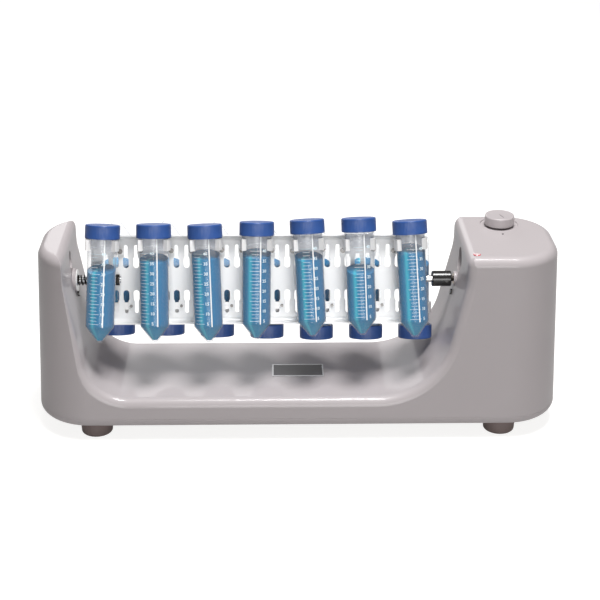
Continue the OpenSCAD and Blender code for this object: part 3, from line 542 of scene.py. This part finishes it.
def label_material():
    """Blank foil: a dark field with a silver border 1.3 mm wide."""
    m, tree, shader = material("label_foil", {"Roughness": 0.32})
    at = place_in(tree)
    lo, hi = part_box("floor_plate")
    mid, half = (lo + hi) / 2, (hi - lo) / 2
    dx, dy = (maths(tree, "SUBTRACT", maths(tree, "ABSOLUTE", maths(tree, "SUBTRACT", part, mid[k])), half[k])
              for k, part in enumerate(split(tree, at)[:2]))
    border = maths(tree, "GREATER_THAN", maths(tree, "MAXIMUM", dx, dy), -0.0013)
    dark = blend_colour(tree, noise(tree, at, 600.0, 2.0), (0.035, 0.032, 0.038), (0.06, 0.052, 0.058))
    fill(tree, shader, {"Base Color": blend_colour(tree, border, dark, (0.55, 0.55, 0.56)),
                        "Metallic": maths(tree, "MULTIPLY", border, 0.8)})
    return m


def lamp_material():
    """Lens: red plastic, with its very top painted pale grey as a highlight."""
    m, tree, shader = material("lamp_lens", {"Roughness": 0.12, "Coat Weight": 0.6, "Coat Roughness": 0.03})
    at = place_in(tree)
    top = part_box("run_lamp")[1].z
    # Painted highlight: the top of the dome turns pale grey.
    clear = ramp(tree, split(tree, at)[2], top - 0.00075, top - 0.0004)
    red = blend_colour(tree, noise(tree, at, 1500.0, 2.0), (0.55, 0.012, 0.03), (0.68, 0.03, 0.05))
    fill(tree, shader, {"Base Color": blend_colour(tree, clear, red, (0.60, 0.50, 0.50))})
    return m


def make_materials(scene):
    """Every material of the object, by the name that its pieces ask for."""
    GROUPS["MouldedSkin"], GROUPS["TurnedMetal"] = build_moulded(), build_turned()
    h, r, t = scene.rotator_housing, scene.rotator_rotor, scene.rotator_tubes
    body = h.colour
    MATS.update({
        "housing": moulded("housing_plastic", body, 0.45, 0.02, 1400.0, 0.04, 0.28, 0.09, 0.25),
        "tray": moulded("tray_plastic", body, 0.45, 0.02, 1400.0, 0.05, 0.2, 0.12, 0.25),
        "knob": moulded("knob_plastic", tuple(c * 1.06 for c in body), 0.3, 0.02, 1400.0, 0.05, 0.3, 0.2),
        "rubber": moulded("foot_rubber", (0.165, 0.125, 0.118), 0.65, 0.12, 1800.0, 0.35),
        "sheet": moulded("rotor_sheet", r.sheet, 0.34, 0.015, 500.0, 0.03, 0.35, 0.1),
        "clip": moulded("clip_plastic", (0.90, 0.885, 0.875), 0.3, 0.02, 1500.0, 0.05, 0.4, 0.1),
        "cap": moulded("cap_plastic", t.cap, 0.38, 0.06, 1600.0, 0.12, 0.15, 0.2),
        "print": moulded("scale_print", (0.72, 0.86, 0.92), 0.5, 0.05, 2500.0, 0.1),
        # Painted highlight: the bright white of the line on each front tube
        "painted_highlight_line": moulded("painted_highlight_line", (0.92, 0.94, 0.95), 0.25, 0.02, 1500.0, 0.05, 0.6, 0.08),
        "black": moulded("black_plastic", (0.012, 0.011, 0.010), 0.28, 0.1, 1500.0, 0.08, 0.3, 0.1),
        "board": moulded("board_coating", (0.02, 0.12, 0.045), 0.35, 0.1, 900.0, 0.1, 0.4, 0.1),
        "dark": moulded("dark_casing", (0.05, 0.055, 0.06), 0.45, 0.1, 900.0, 0.2),
        "mark": moulded("pointer_ink", (0.06, 0.055, 0.06), 0.5, 0.05, 2500.0, 0.05),
        "lamp": lamp_material(),
        "black_steel": turned("black_steel", (0.035, 0.030, 0.027), 0.36, (700.0, 120.0, 120.0), 0.3),
        "steel": turned("plain_steel", (0.50, 0.50, 0.51), 0.30),
        "bright": turned("bright_steel", (0.74, 0.72, 0.70), 0.16),
        "screw": turned("screw_steel", (0.16, 0.155, 0.15), 0.34, (60.0, 400.0, 60.0)),
        "bronze": turned("bush_bronze", (0.48, 0.30, 0.12), 0.32),
        "liquid": liquid_material(t.liquid),
        "tube": tube_material(),
        "label": label_material(),
    })


def paint(nodes, mat):
    """Gives CAD nodes that keep their own shape a finished material."""
    for n in nodes:
        me = frame["nodes"][n].data
        me.materials.clear()
        me.materials.append(MATS[mat])


# ---------- the housing's shapes ----------
def quarters(t):
    """The angles t in each of the four quarters, with the signs of X and Y of each quarter."""
    return (np.concatenate([t + q * math.pi / 2 for q in range(4)]),
            np.repeat([1, -1, -1, 1], len(t)), np.repeat([1, 1, -1, -1], len(t)))


def rounded_plan(h, z, inset, steps=20):
    """Rings of the drafted plan: four quarter circles about fixed corner centres, whose radius is the
    corner radius less the draft at that height and less the inset."""
    z, inset = np.atleast_1d(z).astype(float)[:, None], np.atleast_1d(inset).astype(float)[:, None]
    a, sx, sy = (q[None] for q in quarters(np.linspace(0, math.pi / 2, steps + 1)))
    r = h.corner - (z - h.foot_height) * math.tan(h.draft) - inset
    x = sx * (h.width / 2 - h.corner) + r * np.cos(a)
    y = sy * (h.depth / 2 - h.corner) + r * np.sin(a)
    return np.stack([x, y, z + np.zeros_like(x)], -1)


def outer_rings(h, z0, inset=0.0, chamfer=0.0, steps=10):
    """The drafted side from z0 up, then a quarter circle over the top edge."""
    top = h.foot_height + h.height
    t = np.linspace(0, math.pi / 2, steps + 1)
    r = h.edge - inset
    z, d = [z0], [inset]
    if chamfer:
        z, d = [z0, z0 + chamfer], [inset + chamfer, inset]
    z = np.concatenate([z, top - h.edge + r * np.sin(t)])
    d = np.concatenate([d, inset + r * (1 - np.cos(t))])
    return rounded_plan(h, z, d)


# Each inner wall: its place where upright, its lean and the radius of its sweep into the floor
CRADLE = {"idler": (0.224, math.radians(9.5), 0.044), "drive": (0.160, math.radians(12), 0.072)}
BLEND_R, LIP_R = 0.060, 0.009       # the turn to upright, and the rounding of the top edge


def half_section(h, side, o, steps=28):
    """Half of the cradle's outline, moved out by o: the sweep from the floor, a leaning wall, the turn
    to upright, and the rounded top edge."""
    top_x, lean, r = CRADLE[side]
    floor_z, up, top = h.foot_height + h.floor, h.foot_height + h.upright, h.foot_height + h.height
    sweep_x = top_x - BLEND_R - (r - BLEND_R + (up - floor_z - r) * math.sin(lean)) / math.cos(lean)
    t = np.linspace(-math.pi / 2, -lean, steps + 1)
    a = np.stack([sweep_x + (r + o) * np.cos(t), floor_z + r + (r + o) * np.sin(t)], -1)
    t = np.linspace(-lean, 0, 7)
    b = np.stack([top_x - BLEND_R + (BLEND_R + o) * np.cos(t), up + (BLEND_R + o) * np.sin(t)], -1)
    t = np.linspace(0, math.pi / 2, 7)
    c = np.stack([top_x + o + LIP_R * (1 - np.cos(t)), top - LIP_R + (LIP_R + HAIR) * np.sin(t)], -1)
    return np.concatenate([a, b, c, [[top_x + o + LIP_R, top + 0.002]]])


def cradle_rings(h, grow=0.0, steps=10):
    """The cradle's space: its outline carried from front to back, flaring out by a quarter circle at
    both ends so that the rims are round, and following the draft of the front and back faces."""
    r = h.rim - grow
    t = np.linspace(math.pi / 2, 0, steps + 1)
    rings = []
    for o, s in zip(grow + r * (1 - np.cos(t)), np.sin(t)):
        right, left = half_section(h, "drive", o), half_section(h, "idler", o)[::-1] * [-1, 1]
        xz = np.concatenate([right, left])
        half = h.depth / 2 - (xz[:, 1] - h.foot_height) * math.tan(h.draft)
        rings.append(np.stack([xz[:, 0], -(half - grow + HAIR - r * (1 - s)), xz[:, 1]], -1))
    front = np.array(rings)
    far = front[:1].copy()
    far[..., 1] = -(h.depth / 2 + 0.003)
    front = np.concatenate([far, front])
    return np.concatenate([front, front[::-1] * [1, -1, 1]])


def bar(m, r, length, count=32):
    """Round cutter or stud of radius r from the frame m's origin along its Z."""
    v, f = lathe([(0, 0), (r, 0), (r, length), (0, length)], count)
    return moved(v, m), f


def slab(m, x, y, z0, z1, r=0.0):
    """Flat cutter with round corners: half sizes x and y, from z0 to z1 in the frame m."""
    a, sx, sy = quarters(np.linspace(0, math.pi / 2, 7) if r else np.zeros(1))
    ring = np.stack([sx * (x - r) + r * np.cos(a), sy * (y - r) + r * np.sin(a)], -1)
    rings = np.stack([np.c_[ring, np.full(len(ring), z)] for z in (z0, z1)])
    v, f = skin(rings)
    return moved(v, m), f


def side_frame(h):
    """On the right side face at the switch: Z outwards, X down."""
    return matrix(shift(h.width / 2 - SWITCH_UP * math.tan(h.draft), 0, h.foot_height + SWITCH_UP),
                  turn(math.pi / 2 - h.draft, "Y"))


def back_frame(h):
    """On the back face at the inlet: Z outwards."""
    return matrix(shift(INLET_X, h.depth / 2 - INLET_UP * math.tan(h.draft), h.foot_height + INLET_UP),
                  turn(h.draft - math.pi / 2, "X"))


# ---------- operators ----------
class MakeHousing(bpy.types.Operator):
    """Makes the moulded shell with its cradle, rims, slots and openings"""
    bl_idname = "rotator.housing"
    bl_label = "Housing"

    def openings(self, h, axis, top):
        """Cutters for the shafts' holes and slots, the bracket screws, knob, lamp, switch and inlet."""
        x_up = turn(math.pi / 2, "Y")
        cuts = [bar(matrix(shift(-0.235, 0, axis), x_up), 0.0070, 0.02),
                bar(matrix(shift(0.150, 0, axis), x_up), 0.0051, 0.02)]
        for x, reach, half in ((IDLER_FACE, 0.012, 0.0065), (DRIVE_FACE, 0.0071, 0.010)):
            m = matrix(shift(x, 0, axis + reach + half + 0.0035), x_up)
            cuts.append(slab(m, half + 0.0025, half, -0.012, 0.012, half - 1e-5))
        z, up = axis - SCREW_DROP, h.foot_height + h.upright
        for s, (top_x, lean, _) in ((-1, CRADLE["idler"]), (1, CRADLE["drive"])):
            x = top_x - BLEND_R * (1 - math.cos(lean)) - (up - BLEND_R * math.sin(lean) - z) * math.tan(lean)
            m = matrix(shift(s * x, 0, z), turn(s * (math.pi / 2 + lean), "Y"), shift(z=-0.002))
            cuts.append(bar(m, 0.00155, 0.012, 20))
        dish = np.concatenate([[(0, -0.0015), (0.0182, -0.0015)], arc(0.0182, -0.0008, 0.0007, -90, 0, 4),
                               arc(0.0196, -0.0006, 0.0007, 180, 90, 4), [(0.0205, 0.0012), (0, 0.0012)]])
        cuts.append(lathe(dish, 96, at=(*KNOB_AT, top)))
        for place, radius in ((KNOB_AT, 0.0036), (LAMP_AT, 0.0028)):
            cuts.append(bar(matrix(shift(*place, top - 0.008)), radius, 0.012))
        cuts.append(slab(side_frame(h), 0.011, 0.0065, -0.007, 0.007))
        cuts.append(slab(back_frame(h), 0.01405, 0.0103, -0.007, 0.007))
        return cuts

    def execute(self, context):
        h, axis = context.scene.rotator_housing, context.scene.rotator_rotor.axis_height
        parting, top = h.foot_height + h.tray, h.foot_height + h.height
        shell = piece("housing_shell", *skin(outer_rings(h, parting, chamfer=h.seam)), "housing",
                      "root", "housing_plastic", nodes=("housing",))
        hollow = link("hollow", to_mesh("hollow", *skin(outer_rings(h, parting - 0.001, h.wall))))
        tidy(hollow.data)
        boolean(hollow, [skin(cradle_rings(h, h.wall))])
        boolean(shell, [skin(cradle_rings(h))])
        cut_by(shell, hollow)
        pads = [bar(matrix(shift(x, 0, axis), turn(math.pi / 2, "Y")), radius, length, 48)
                for x, radius, length in ((IDLER_FACE - 0.0012, 0.012, 0.0034),
                                          (DRIVE_FACE - 0.0022, 0.0071, 0.0040))]
        boolean(shell, pads, "UNION")
        boolean(shell, self.openings(h, axis, top))
        tidy(shell.data, 2e-6)
        weighted(shell, "housing", 32)
        return {"FINISHED"}


class MakeBase(bpy.types.Operator):
    """Makes the base tray, its feet and screws, and the blank label on the cradle floor"""
    bl_idname = "rotator.base"
    bl_label = "Base and feet"

    def execute(self, context):
        h = context.scene.rotator_housing
        base, parting = h.foot_height, h.foot_height + h.tray
        t = np.linspace(0, math.pi / 2, 11)
        z = np.concatenate([base + h.lower_edge * (1 - np.cos(t)),
                            [parting - h.seam, parting, parting, base + 0.006, base + 0.003]])
        inset = np.concatenate([h.lower_edge * (1 - np.sin(t)),
                                [0, h.seam, h.wall, h.wall + 0.0005, h.wall + 0.004]])
        tray = piece("base_tray_shell", *skin(rounded_plan(h, z, inset)), "tray", "root",
                     "housing_plastic", nodes=("base_tray",))
        spots = [(x, y) for x in (-0.150, 0.050) for y in (0.049, -0.049)] + [(0.2455, 0), (-0.2455, 0)]
        boolean(tray, [bar(matrix(shift(x, y, base - 0.002)), 0.004, 0.0035) for x, y in spots])
        weighted(tray, "tray")
        profile = np.concatenate([
            [(0, 0.007), (0.004, 0.007), (0.004, 0.0), (0.0134, 0.0)],
            arc(0.0134, 0.002, 0.0020, -80, -5, 5),
            [(0.0156, 0.0050), (0.0158, 0.0095), (0.0159, 0.0133)], arc(0.0153, 0.0138, 0.0006, 0, 80, 3),
            [(0, base)]])
        feet = [lathe(profile, 56, at=(sx * FOOT_AT[0], sy * FOOT_AT[1], 0))
                for sx in (-1, 1) for sy in (-1, 1)]
        piece("feet_rubber", *join_parts(feet), "rubber", "root", "foot_rubber", nodes=("feet",))
        paint(["base_screws"], "screw")
        paint(["floor_plate"], "label")
        return {"FINISHED"}


class MakeRotor(bpy.types.Operator):
    """Dresses the rotor plate, its clips and screws, and the idler spindle"""
    bl_idname = "rotator.rotor"
    bl_label = "Rotor plate and clips"

    def execute(self, context):
        for row in (("rotor_plate", "plate_sheet", "sheet", "rotor_sheet", 0.00025),
                    ("front_clips", "front_clips_moulding", "clip", "clip_plastic", 0.0003),
                    ("rear_clips", "rear_clips_moulding", "clip", "clip_plastic", 0.0003),
                    ("clip_screws", "clip_screw_set", "screw", "steel", 0.0003),
                    ("idler_shaft", "idler_spindle", "steel", "steel", 0.0003),
                    ("idler_washer", "idler_flange", "clip", "clip_plastic", 0.0002),
                    ("rotor_nuts", "rotor_nut_set", "black_steel", "black_steel", 0.0003),
                    ("drive_stub", "drive_pin", "bright", "bright_steel", 0.0002)):
            from_node(*row)
        coil = from_node("idler_spring", "idler_coil", "black_steel", "black_steel", angle=60)
        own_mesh(coil)
        return {"FINISHED"}


class MakeTubes(bpy.types.Operator):
    """Makes the fourteen tubes with their liquid, the printed scales of the front row, and a painted
    highlight line on each front tube
    """
    bl_idname = "rotator.tubes"
    bl_label = "Tubes and samples"

    def wall_profile(self, t):
        """Outer wall of a tube, from the tip up to the mouth."""
        low, top, r = -t.length / 2, t.length / 2 - 0.002, t.diameter / 2
        return np.concatenate([[(0, low), (t.tip - 0.0008, low)],
                               arc(t.tip - 0.0008, low + 0.0008, 0.0008, -90, -30, 3),
                               [(t.tip + 0.0004, low + 0.0009), (r - 0.0006, low + t.cone - 0.0006)],
                               arc(r - 0.0012, low + t.cone + 0.0008, 0.0012, -30, 0, 3),
                               [(r, 0), (r, top - 0.0006), (r - 0.0006, top), (0, top)]])

    def liquid(self, t, m, level, inverted):
        """The sample's surface: the wall's inner form up to where a level plane cuts it, then across.
        Along the tube the row runs from the closed end to the height at which that plane meets each
        side, which is (level - origin - x part - y part) over the tube's own upward part."""
        count, rows = 64, 24
        r = t.diameter / 2 - 0.0005
        a = np.linspace(0, TAU, count, endpoint=False)
        x, y = r * np.sin(a), -r * np.cos(a)
        at = (level - m[2, 3] - m[2, 0] * x - m[2, 1] * y) / m[2, 2]
        low, across = -t.length / 2, (level - m[2, 3]) / m[2, 2]
        s = np.linspace(0, 1, rows)[:, None]
        if inverted:
            end = t.length / 2 - 0.0022
            z = end + (at[None] - end) * s
            rad = np.full_like(z, r)
            closed = end
        else:
            cone = np.array([(t.tip - 0.0006, low + 0.0016), (r - 0.0003, low + t.cone + 0.0003)])
            z = np.concatenate([np.repeat(cone[:, 1:], count, 1),
                                cone[1, 1] + (at[None] - cone[1, 1]) * s[1:]])
            rad = np.concatenate([np.repeat(cone[:, :1], count, 1), np.full((rows - 1, count), r)])
            closed = low + 0.0014
        rings = np.stack([rad * np.sin(a), -rad * np.cos(a), z], -1)
        v = np.concatenate([rings.reshape(-1, 3), [(0, 0, closed), (0, 0, across)]])
        n = len(rings)
        i = np.arange(count)
        j = (i + 1) % count
        last = (n - 1) * count
        faces = ring_faces(n, count).tolist()
        faces += np.stack([np.full(count, n * count), j, i], -1).tolist()
        faces += np.stack([np.full(count, n * count + 1), last + i, last + j], -1).tolist()
        u = np.concatenate([np.tile((a / TAU + 0.5) % 1.0, n), [0.5, 0.5]])
        uv = np.stack([u, (v[:, 2] - low) / t.length], -1)
        return moved(v, m), faces, uv

    def digits(self):
        """Flat outlines of the scale's numbers, as (points, faces), from a plain built-in font."""
        out = {}
        for n in range(5, 45, 5):
            curve = bpy.data.curves.new("digit", "FONT")
            curve.body, curve.size, curve.align_x, curve.align_y = str(n), 0.0042, "CENTER", "CENTER"
            curve.offset = 0.00008
            curve.resolution_u = 2
            obj = link("digit", curve)
            me = bpy.data.meshes.new_from_object(obj.evaluated_get(bpy.context.evaluated_depsgraph_get()))
            co = np.zeros(len(me.vertices) * 3)
            me.vertices.foreach_get("co", co)
            out[n] = (co.reshape(-1, 3), [list(p.vertices) for p in me.polygons])
            bpy.data.objects.remove(obj)
            bpy.data.curves.remove(curve)
            bpy.data.meshes.remove(me)
        return out

    def on_wall(self, t, flat, middle):
        """Wraps flat artwork round the tube: x is the arc length from the middle angle, y the height."""
        r = t.diameter / 2 + 0.00006
        a = middle + flat[:, 0] / r
        return np.stack([r * np.sin(a), -r * np.cos(a), flat[:, 1]], -1)

    def dash(self, x0, x1, y, thick, steps=8):
        """A thin flat line from x0 to x1 at height y: a printed tick, and also the painted highlight line."""
        x = np.linspace(x0, x1, steps + 1)
        v = np.concatenate([np.stack([x, np.full_like(x, y - thick / 2), 0 * x], -1),
                            np.stack([x, np.full_like(x, y + thick / 2), 0 * x], -1)])
        i = np.arange(steps)
        return v, np.stack([i, i + 1, i + steps + 2, i + steps + 1], -1).tolist()

    def scale_print(self, t, digits, middle):
        """Numbers up the tube with a ladder of lines on their left."""
        start = -t.length / 2 + t.cone + 0.004
        parts = []
        for n in range(8):
            y = start + n * t.scale_step
            v, f = digits[5 * (n + 1)]
            parts.append((self.on_wall(t, v[:, :2] + [0.0, y], middle), f))
            for k in range(3):
                if n == 7 and k:
                    break
                yk = y + k * t.scale_step / 3
                x0, x1 = (-0.0125, -0.0055) if k else (-0.0145, -0.0032)    # a shorter line between numbers
                v, f = self.dash(x0, x1, yk, 0.0003)
                parts.append((self.on_wall(t, v[:, :2], middle), f))
        return join_parts(parts)

    def execute(self, context):
        r, t = context.scene.rotator_rotor, context.scene.rotator_tubes
        wall, digits = self.wall_profile(t), self.digits()
        v, f = lathe(wall, 72)
        tube_uv = np.stack([np.full(len(v), 0.5), v[:, 2] / t.length + 0.5], -1)
        # The painted highlight line, from above the cone up to the cap, at the same turn on every front tube
        low, top = -t.length / 2 + t.cone + 0.001, t.length / 2 - t.cap_height - 0.0005
        strip, strip_faces = self.dash(low, top, 0, 0.0012, 2)
        strip = self.on_wall(t, strip[:, 1::-1], PAINTED_HIGHLIGHT_TURN)
        for k in range(TUBES):
            for row, place, levels in (("front", front_frame, FRONT_LEVEL), ("rear", rear_frame, REAR_LEVEL)):
                m = place(r, k)
                name = f"{row}_tube_{k + 1}"
                piece(f"{row}_tube_wall_{k + 1}", moved(v, m), f, "tube", BODY_OF[name], "tube_plastic",
                      uv=tube_uv, nodes=(name,))
                sample, faces, uv = self.liquid(t, m, levels[k], row == "rear")
                piece(f"{row}_sample_{k + 1}", sample, faces, "liquid", BODY_OF[name], "tube_plastic", 40,
                      uv=uv, merge=1e-7)
            m, body = front_frame(r, k), BODY_OF[f"front_tube_{k + 1}"]
            piece(f"front_flow_line_{k + 1}", moved(strip, m), [g[::-1] for g in strip_faces],
                  "painted_highlight_line", body, "clip_plastic")
            print_v, print_f = self.scale_print(t, digits, FRONT_TURN[k])
            me = to_mesh(f"front_scale_{k + 1}", moved(print_v, m), print_f)
            obj = link(me.name, me)
            me.materials.append(MATS["print"])
            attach(obj, body)
        return {"FINISHED"}


class MakeCaps(bpy.types.Operator):
    """Makes the ribbed screw caps of both rows"""
    bl_idname = "rotator.caps"
    bl_label = "Caps"

    def execute(self, context):
        r, t = context.scene.rotator_rotor, context.scene.rotator_tubes
        top, rad, low = t.length / 2, t.cap_diameter / 2, t.length / 2 - t.cap_height
        inner = t.diameter / 2 + 0.0001
        profile = np.concatenate([
            [(0, top - 0.00195), (inner, top - 0.00195), (inner, low + 0.0003), (inner + 0.0003, low)],
            [(rad - 0.0008, low)], arc(rad - 0.0006, low + 0.0006, 0.0006, -60, 0, 3),
            [(rad, low + 0.0016), (rad, low + 0.0020), (rad - 0.0001, top - 0.0022),
             (rad - 0.0001, top - 0.0018)],
            arc(rad - 0.0014, top - 0.0013, 0.0013, 0, 90, 5),
            [(rad - 0.0036, top - 0.0003), (0, top - 0.0003)]])
        ribbed = np.zeros(len(profile))
        height = profile[:, 1]
        ribbed[(height > low + 0.0017) & (height < top - 0.0019) & (profile[:, 0] > rad - 0.0005)] = 1

        def ripple(a, row):
            """Round ribs: the radius falls by 1.1% times the 1.5th power of half of 1 less the cosine of
            the angle times the rib count."""
            return 1 - ribbed[row] * 0.011 * (0.5 - 0.5 * np.cos(t.ribs * a)) ** 1.5

        v, f = lathe(profile, t.ribs * 6, ripple)
        for k in range(TUBES):
            for row, place in (("front", front_frame), ("rear", rear_frame)):
                name = f"{row}_cap_{k + 1}"
                piece(f"{row}_screw_cap_{k + 1}", moved(v, place(r, k)), f, "cap", BODY_OF[name],
                      "cap_plastic", 40, nodes=(name,))
        return {"FINISHED"}


class MakeDrive(bpy.types.Operator):
    """Dresses the coupling, shafts and bushes"""
    bl_idname = "rotator.drive"
    bl_label = "Coupling and shafts"

    def execute(self, context):
        for row in (("coupling", "coupling_sleeve", "black", "black_plastic"),
                    ("coupling_screws", "coupling_grub_screws", "screw", "black_steel", 0.0002),
                    ("drive_shaft", "output_shaft", "black_steel", "steel"),
                    ("drive_bush", "drive_bush_turned", "bronze", "bronze", 0.0002),
                    ("idler_bush", "idler_bush_turned", "bronze", "bronze", 0.0002),
                    ("bracket_screws", "bracket_screw_set", "screw", "steel", 0.0002)):
            from_node(*row)
        return {"FINISHED"}


class MakeControls(bpy.types.Operator):
    """Makes the speed knob with its pointer, the lamp lens, and dresses the switch and inlet"""
    bl_idname = "rotator.controls"
    bl_label = "Controls"

    def execute(self, context):
        h = context.scene.rotator_housing
        top = h.foot_height + h.height
        z0, z1, r = top + 0.0005, top + 0.010, 0.015
        profile = np.concatenate([
            [(0, z0 - 0.006), (0.003, z0 - 0.006), (0.003, z0), (r - 0.0009, z0)],
            arc(r - 0.0007, z0 + 0.0007, 0.0007, -80, 0, 4),
            [(r - 0.0001, z0 + 0.003), (r - 0.0003, z1 - 0.0022)],
            arc(r - 0.0017, z1 - 0.0014, 0.0014, 5, 90, 6),
            [(r - 0.0038, z1 - 0.00012), (r - 0.0042, z1 - 0.0002), (0, z1 - 0.0002)]])
        knob = piece("speed_knob_cap", *lathe(profile, 96, at=(*KNOB_AT, 0)), "knob", "knob",
                     "knob_plastic", nodes=("speed_knob",))
        start, end = np.array([0.2020, 0.0335]), np.array([0.2050, 0.0247])     # of the pointer line
        half, middle = np.linalg.norm(end - start) / 2, (start + end) / 2
        m = matrix(shift(*middle, z1), turn(math.atan2(*(end - start)[::-1]), "Z"))
        boolean(knob, [slab(m, half, 0.0004, -0.0005, 0.0008, 0.00039)])
        weighted(knob, "knob", 35)
        piece("knob_pointer_ink", *slab(m, half - 0.00005, 0.00034, -0.0008, -0.0003, 0.0003), "mark",
              "knob", "black_plastic")
        dot = np.concatenate([[(0, -0.0004), (0.0009, -0.0004)],
                              arc(0, -0.0002, 0.0009, 5, 90, 5) * [1, 0.45]])
        v, f = lathe(dot, 24)
        piece("speed_index_dot", v * [1.2, 0.8, 1] + [0.2016, 0.0049, top + 0.00025], f, "mark", "root",
              "black_plastic")
        rad, rise = 0.0037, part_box("run_lamp")[1].z - top
        t = np.linspace(0.1, math.pi / 2, 12)
        dome = np.concatenate([[(0, -0.004), (0.00265, -0.004), (0.00265, 0.0), (rad, 0.0)],
                               np.stack([rad * np.cos(t), rise * np.sin(t)], -1)])
        piece("lamp_lens_dome", *lathe(dome, 48, at=(*LAMP_AT, top)), "lamp", "root", "lamp_red", 40,
              nodes=("run_lamp",))
        for n, bevel in (("power_switch", 0.0004), ("power_rocker", 0.0005), ("power_inlet", 0.0004)):
            from_node(n, n + "_moulding", "black", "black_plastic", bevel)
        return {"FINISHED"}


class DressWorks(bpy.types.Operator):
    """Gives the pieces inside the drive tower their finishes"""
    bl_idname = "rotator.works"
    bl_label = "Works inside"

    def execute(self, context):
        paint(["gearbox", "motor", "motor_bracket", "idler_bracket"], "steel")
        paint(["speed_pot", "power_supply"], "dark")
        paint(["circuit_board"], "board")
        return {"FINISHED"}


class MakeStage(bpy.types.Operator):
    """Makes the floor, the soft lights and the camera"""
    bl_idname = "rotator.stage"
    bl_label = "Stage"

    def lamp(self, name, place, aim_up, size, power):
        """A rectangular soft light that looks at a point above the middle of the floor."""
        data = bpy.data.lights.new(name, "AREA")
        data.shape, data.size, data.size_y, data.energy = "RECTANGLE", size[0], size[1], power
        obj = link(name, data)
        obj.location = place
        obj.rotation_euler = (Vector((0, 0, aim_up)) - Vector(place)).to_track_quat("-Z", "Y").to_euler()

    def execute(self, context):
        s = context.scene.rotator_stage
        cells, reach = 24, 6.0
        a = np.linspace(-1, 1, cells + 1) * reach
        x, y = np.meshgrid(a, a, indexing="ij")
        v = np.stack([x, y, np.full_like(x, -HAIR)], -1).reshape(-1, 3)
        i, j = np.meshgrid(np.arange(cells), np.arange(cells), indexing="ij")
        q = (i * (cells + 1) + j).ravel()
        faces = np.stack([q, q + cells + 1, q + cells + 2, q + 1], -1).tolist()
        floor = link("stage_floor", to_mesh("stage_floor", v, faces))
        m, tree, shader = material("stage_floor", {"Base Color": (0.36, 0.357, 0.352, 1), "Roughness": 0.9,
                                                   "Specular IOR Level": 0.0})
        path = node(tree, "ShaderNodeLightPath").outputs
        glossy = maths(tree, "MULTIPLY", path["Is Glossy Ray"], 0.5)
        seen = maths(tree, "MAXIMUM", path["Is Camera Ray"],
                     maths(tree, "MAXIMUM", glossy, path["Is Transmission Ray"]))
        glow = node(tree, "ShaderNodeEmission", {"Color": (1.0, 0.995, 0.985, 1),
                                                 "Strength": maths(tree, "MULTIPLY", seen, 0.85)})
        add = node(tree, "ShaderNodeAddShader", {0: shader.outputs[0], 1: glow.outputs[0]})
        fill(tree, tree.nodes["Material Output"], {0: add.outputs[0]})
        floor.data.materials.append(m)

        world = bpy.data.worlds.new("soft_world")
        context.scene.world = world
        world.use_nodes = True
        tree = world.node_tree
        path = node(tree, "ShaderNodeLightPath").outputs
        seen = maths(tree, "MAXIMUM", path["Is Camera Ray"], path["Is Transmission Ray"])
        fill(tree, tree.nodes["Background"], {"Strength": maths(tree, "MULTIPLY_ADD", seen, 0.85, 0.15),
                                              "Color": (1, 1, 1, 1)})

        for row in (("top_softbox", (0.16, -0.16, 1.75), 0.1, (0.7, 0.5), 36),
                    ("front_strip", (0.95, -1.15, 0.55), 0.14, (0.05, 1.1), 0.5),
                    ("front_fill", (0.20, -1.95, 0.40), 0.1, (1.0, 0.8), 14),
                    ("rear_fill", (-0.5, 1.9, 0.9), 0.1, (1.0, 0.8), 7)):
            self.lamp(*row)

        cp, sp, cy, sy = math.cos(s.pitch), math.sin(s.pitch), math.cos(s.yaw), math.sin(s.yaw)
        ahead = Vector((cp * sy, cp * cy, -sp))
        right, up = Vector((cy, -sy, 0)), Vector((sp * sy, sp * cy, cp))
        cr, sr = math.cos(s.roll), math.sin(s.roll)
        right, up = cr * right - sr * up, sr * right + cr * up
        aim = Vector((0.001927, 0, 0.120935))
        data = bpy.data.cameras.new("view_camera")
        data.lens, data.sensor_width, data.clip_end = s.lens, 36.0, 50.0
        camera = link("view_camera", data)
        turned_to = Matrix((right, up, -ahead)).transposed()
        camera.matrix_world = Matrix.Translation(aim - s.distance * ahead) @ turned_to.to_4x4()
        context.scene.camera = camera
        context.scene.view_settings.view_transform = "Standard"
        return {"FINISHED"}


PIECES = (MakeHousing, MakeBase, MakeRotor, MakeTubes, MakeCaps, MakeDrive, MakeControls, DressWorks)


class RotatorPanel(bpy.types.Panel):
    bl_idname = "VIEW3D_PT_tube_rotator"
    bl_label = "Tube Rotator"
    bl_space_type = "VIEW_3D"
    bl_region_type = "UI"
    bl_category = "Tube Rotator"

    def draw(self, context):
        for slot, kind in GROUP_SLOTS:
            group = getattr(context.scene, slot)
            box = self.layout.box()
            box.label(text=kind.__name__.removesuffix("Settings"))
            for key in group.bl_rna.properties.keys():
                if key not in {"rna_type", "name"}:
                    box.prop(group, key)
        for op in PIECES + (MakeStage,):
            self.layout.operator(op.bl_idname)


CLASSES = (HousingSettings, RotorSettings, TubeSettings, StageSettings) + PIECES + (MakeStage, RotatorPanel)
GROUP_SLOTS = (("rotator_housing", HousingSettings), ("rotator_rotor", RotorSettings),
               ("rotator_tubes", TubeSettings), ("rotator_stage", StageSettings))


def register():
    for c in CLASSES:
        bpy.utils.register_class(c)
    for name, group in GROUP_SLOTS:
        setattr(bpy.types.Scene, name, PointerProperty(type=group))


def unregister():
    for name, _ in GROUP_SLOTS:
        delattr(bpy.types.Scene, name)
    for c in reversed(CLASSES):
        bpy.utils.unregister_class(c)


def main():
    register()
    make_materials(bpy.context.scene)
    bpy.ops.rotator.housing()
    bpy.ops.rotator.base()
    bpy.ops.rotator.rotor()
    bpy.ops.rotator.tubes()
    bpy.ops.rotator.caps()
    bpy.ops.rotator.drive()
    bpy.ops.rotator.controls()
    bpy.ops.rotator.works()
    bpy.ops.rotator.stage()


if __name__ == "__main__":
    main()
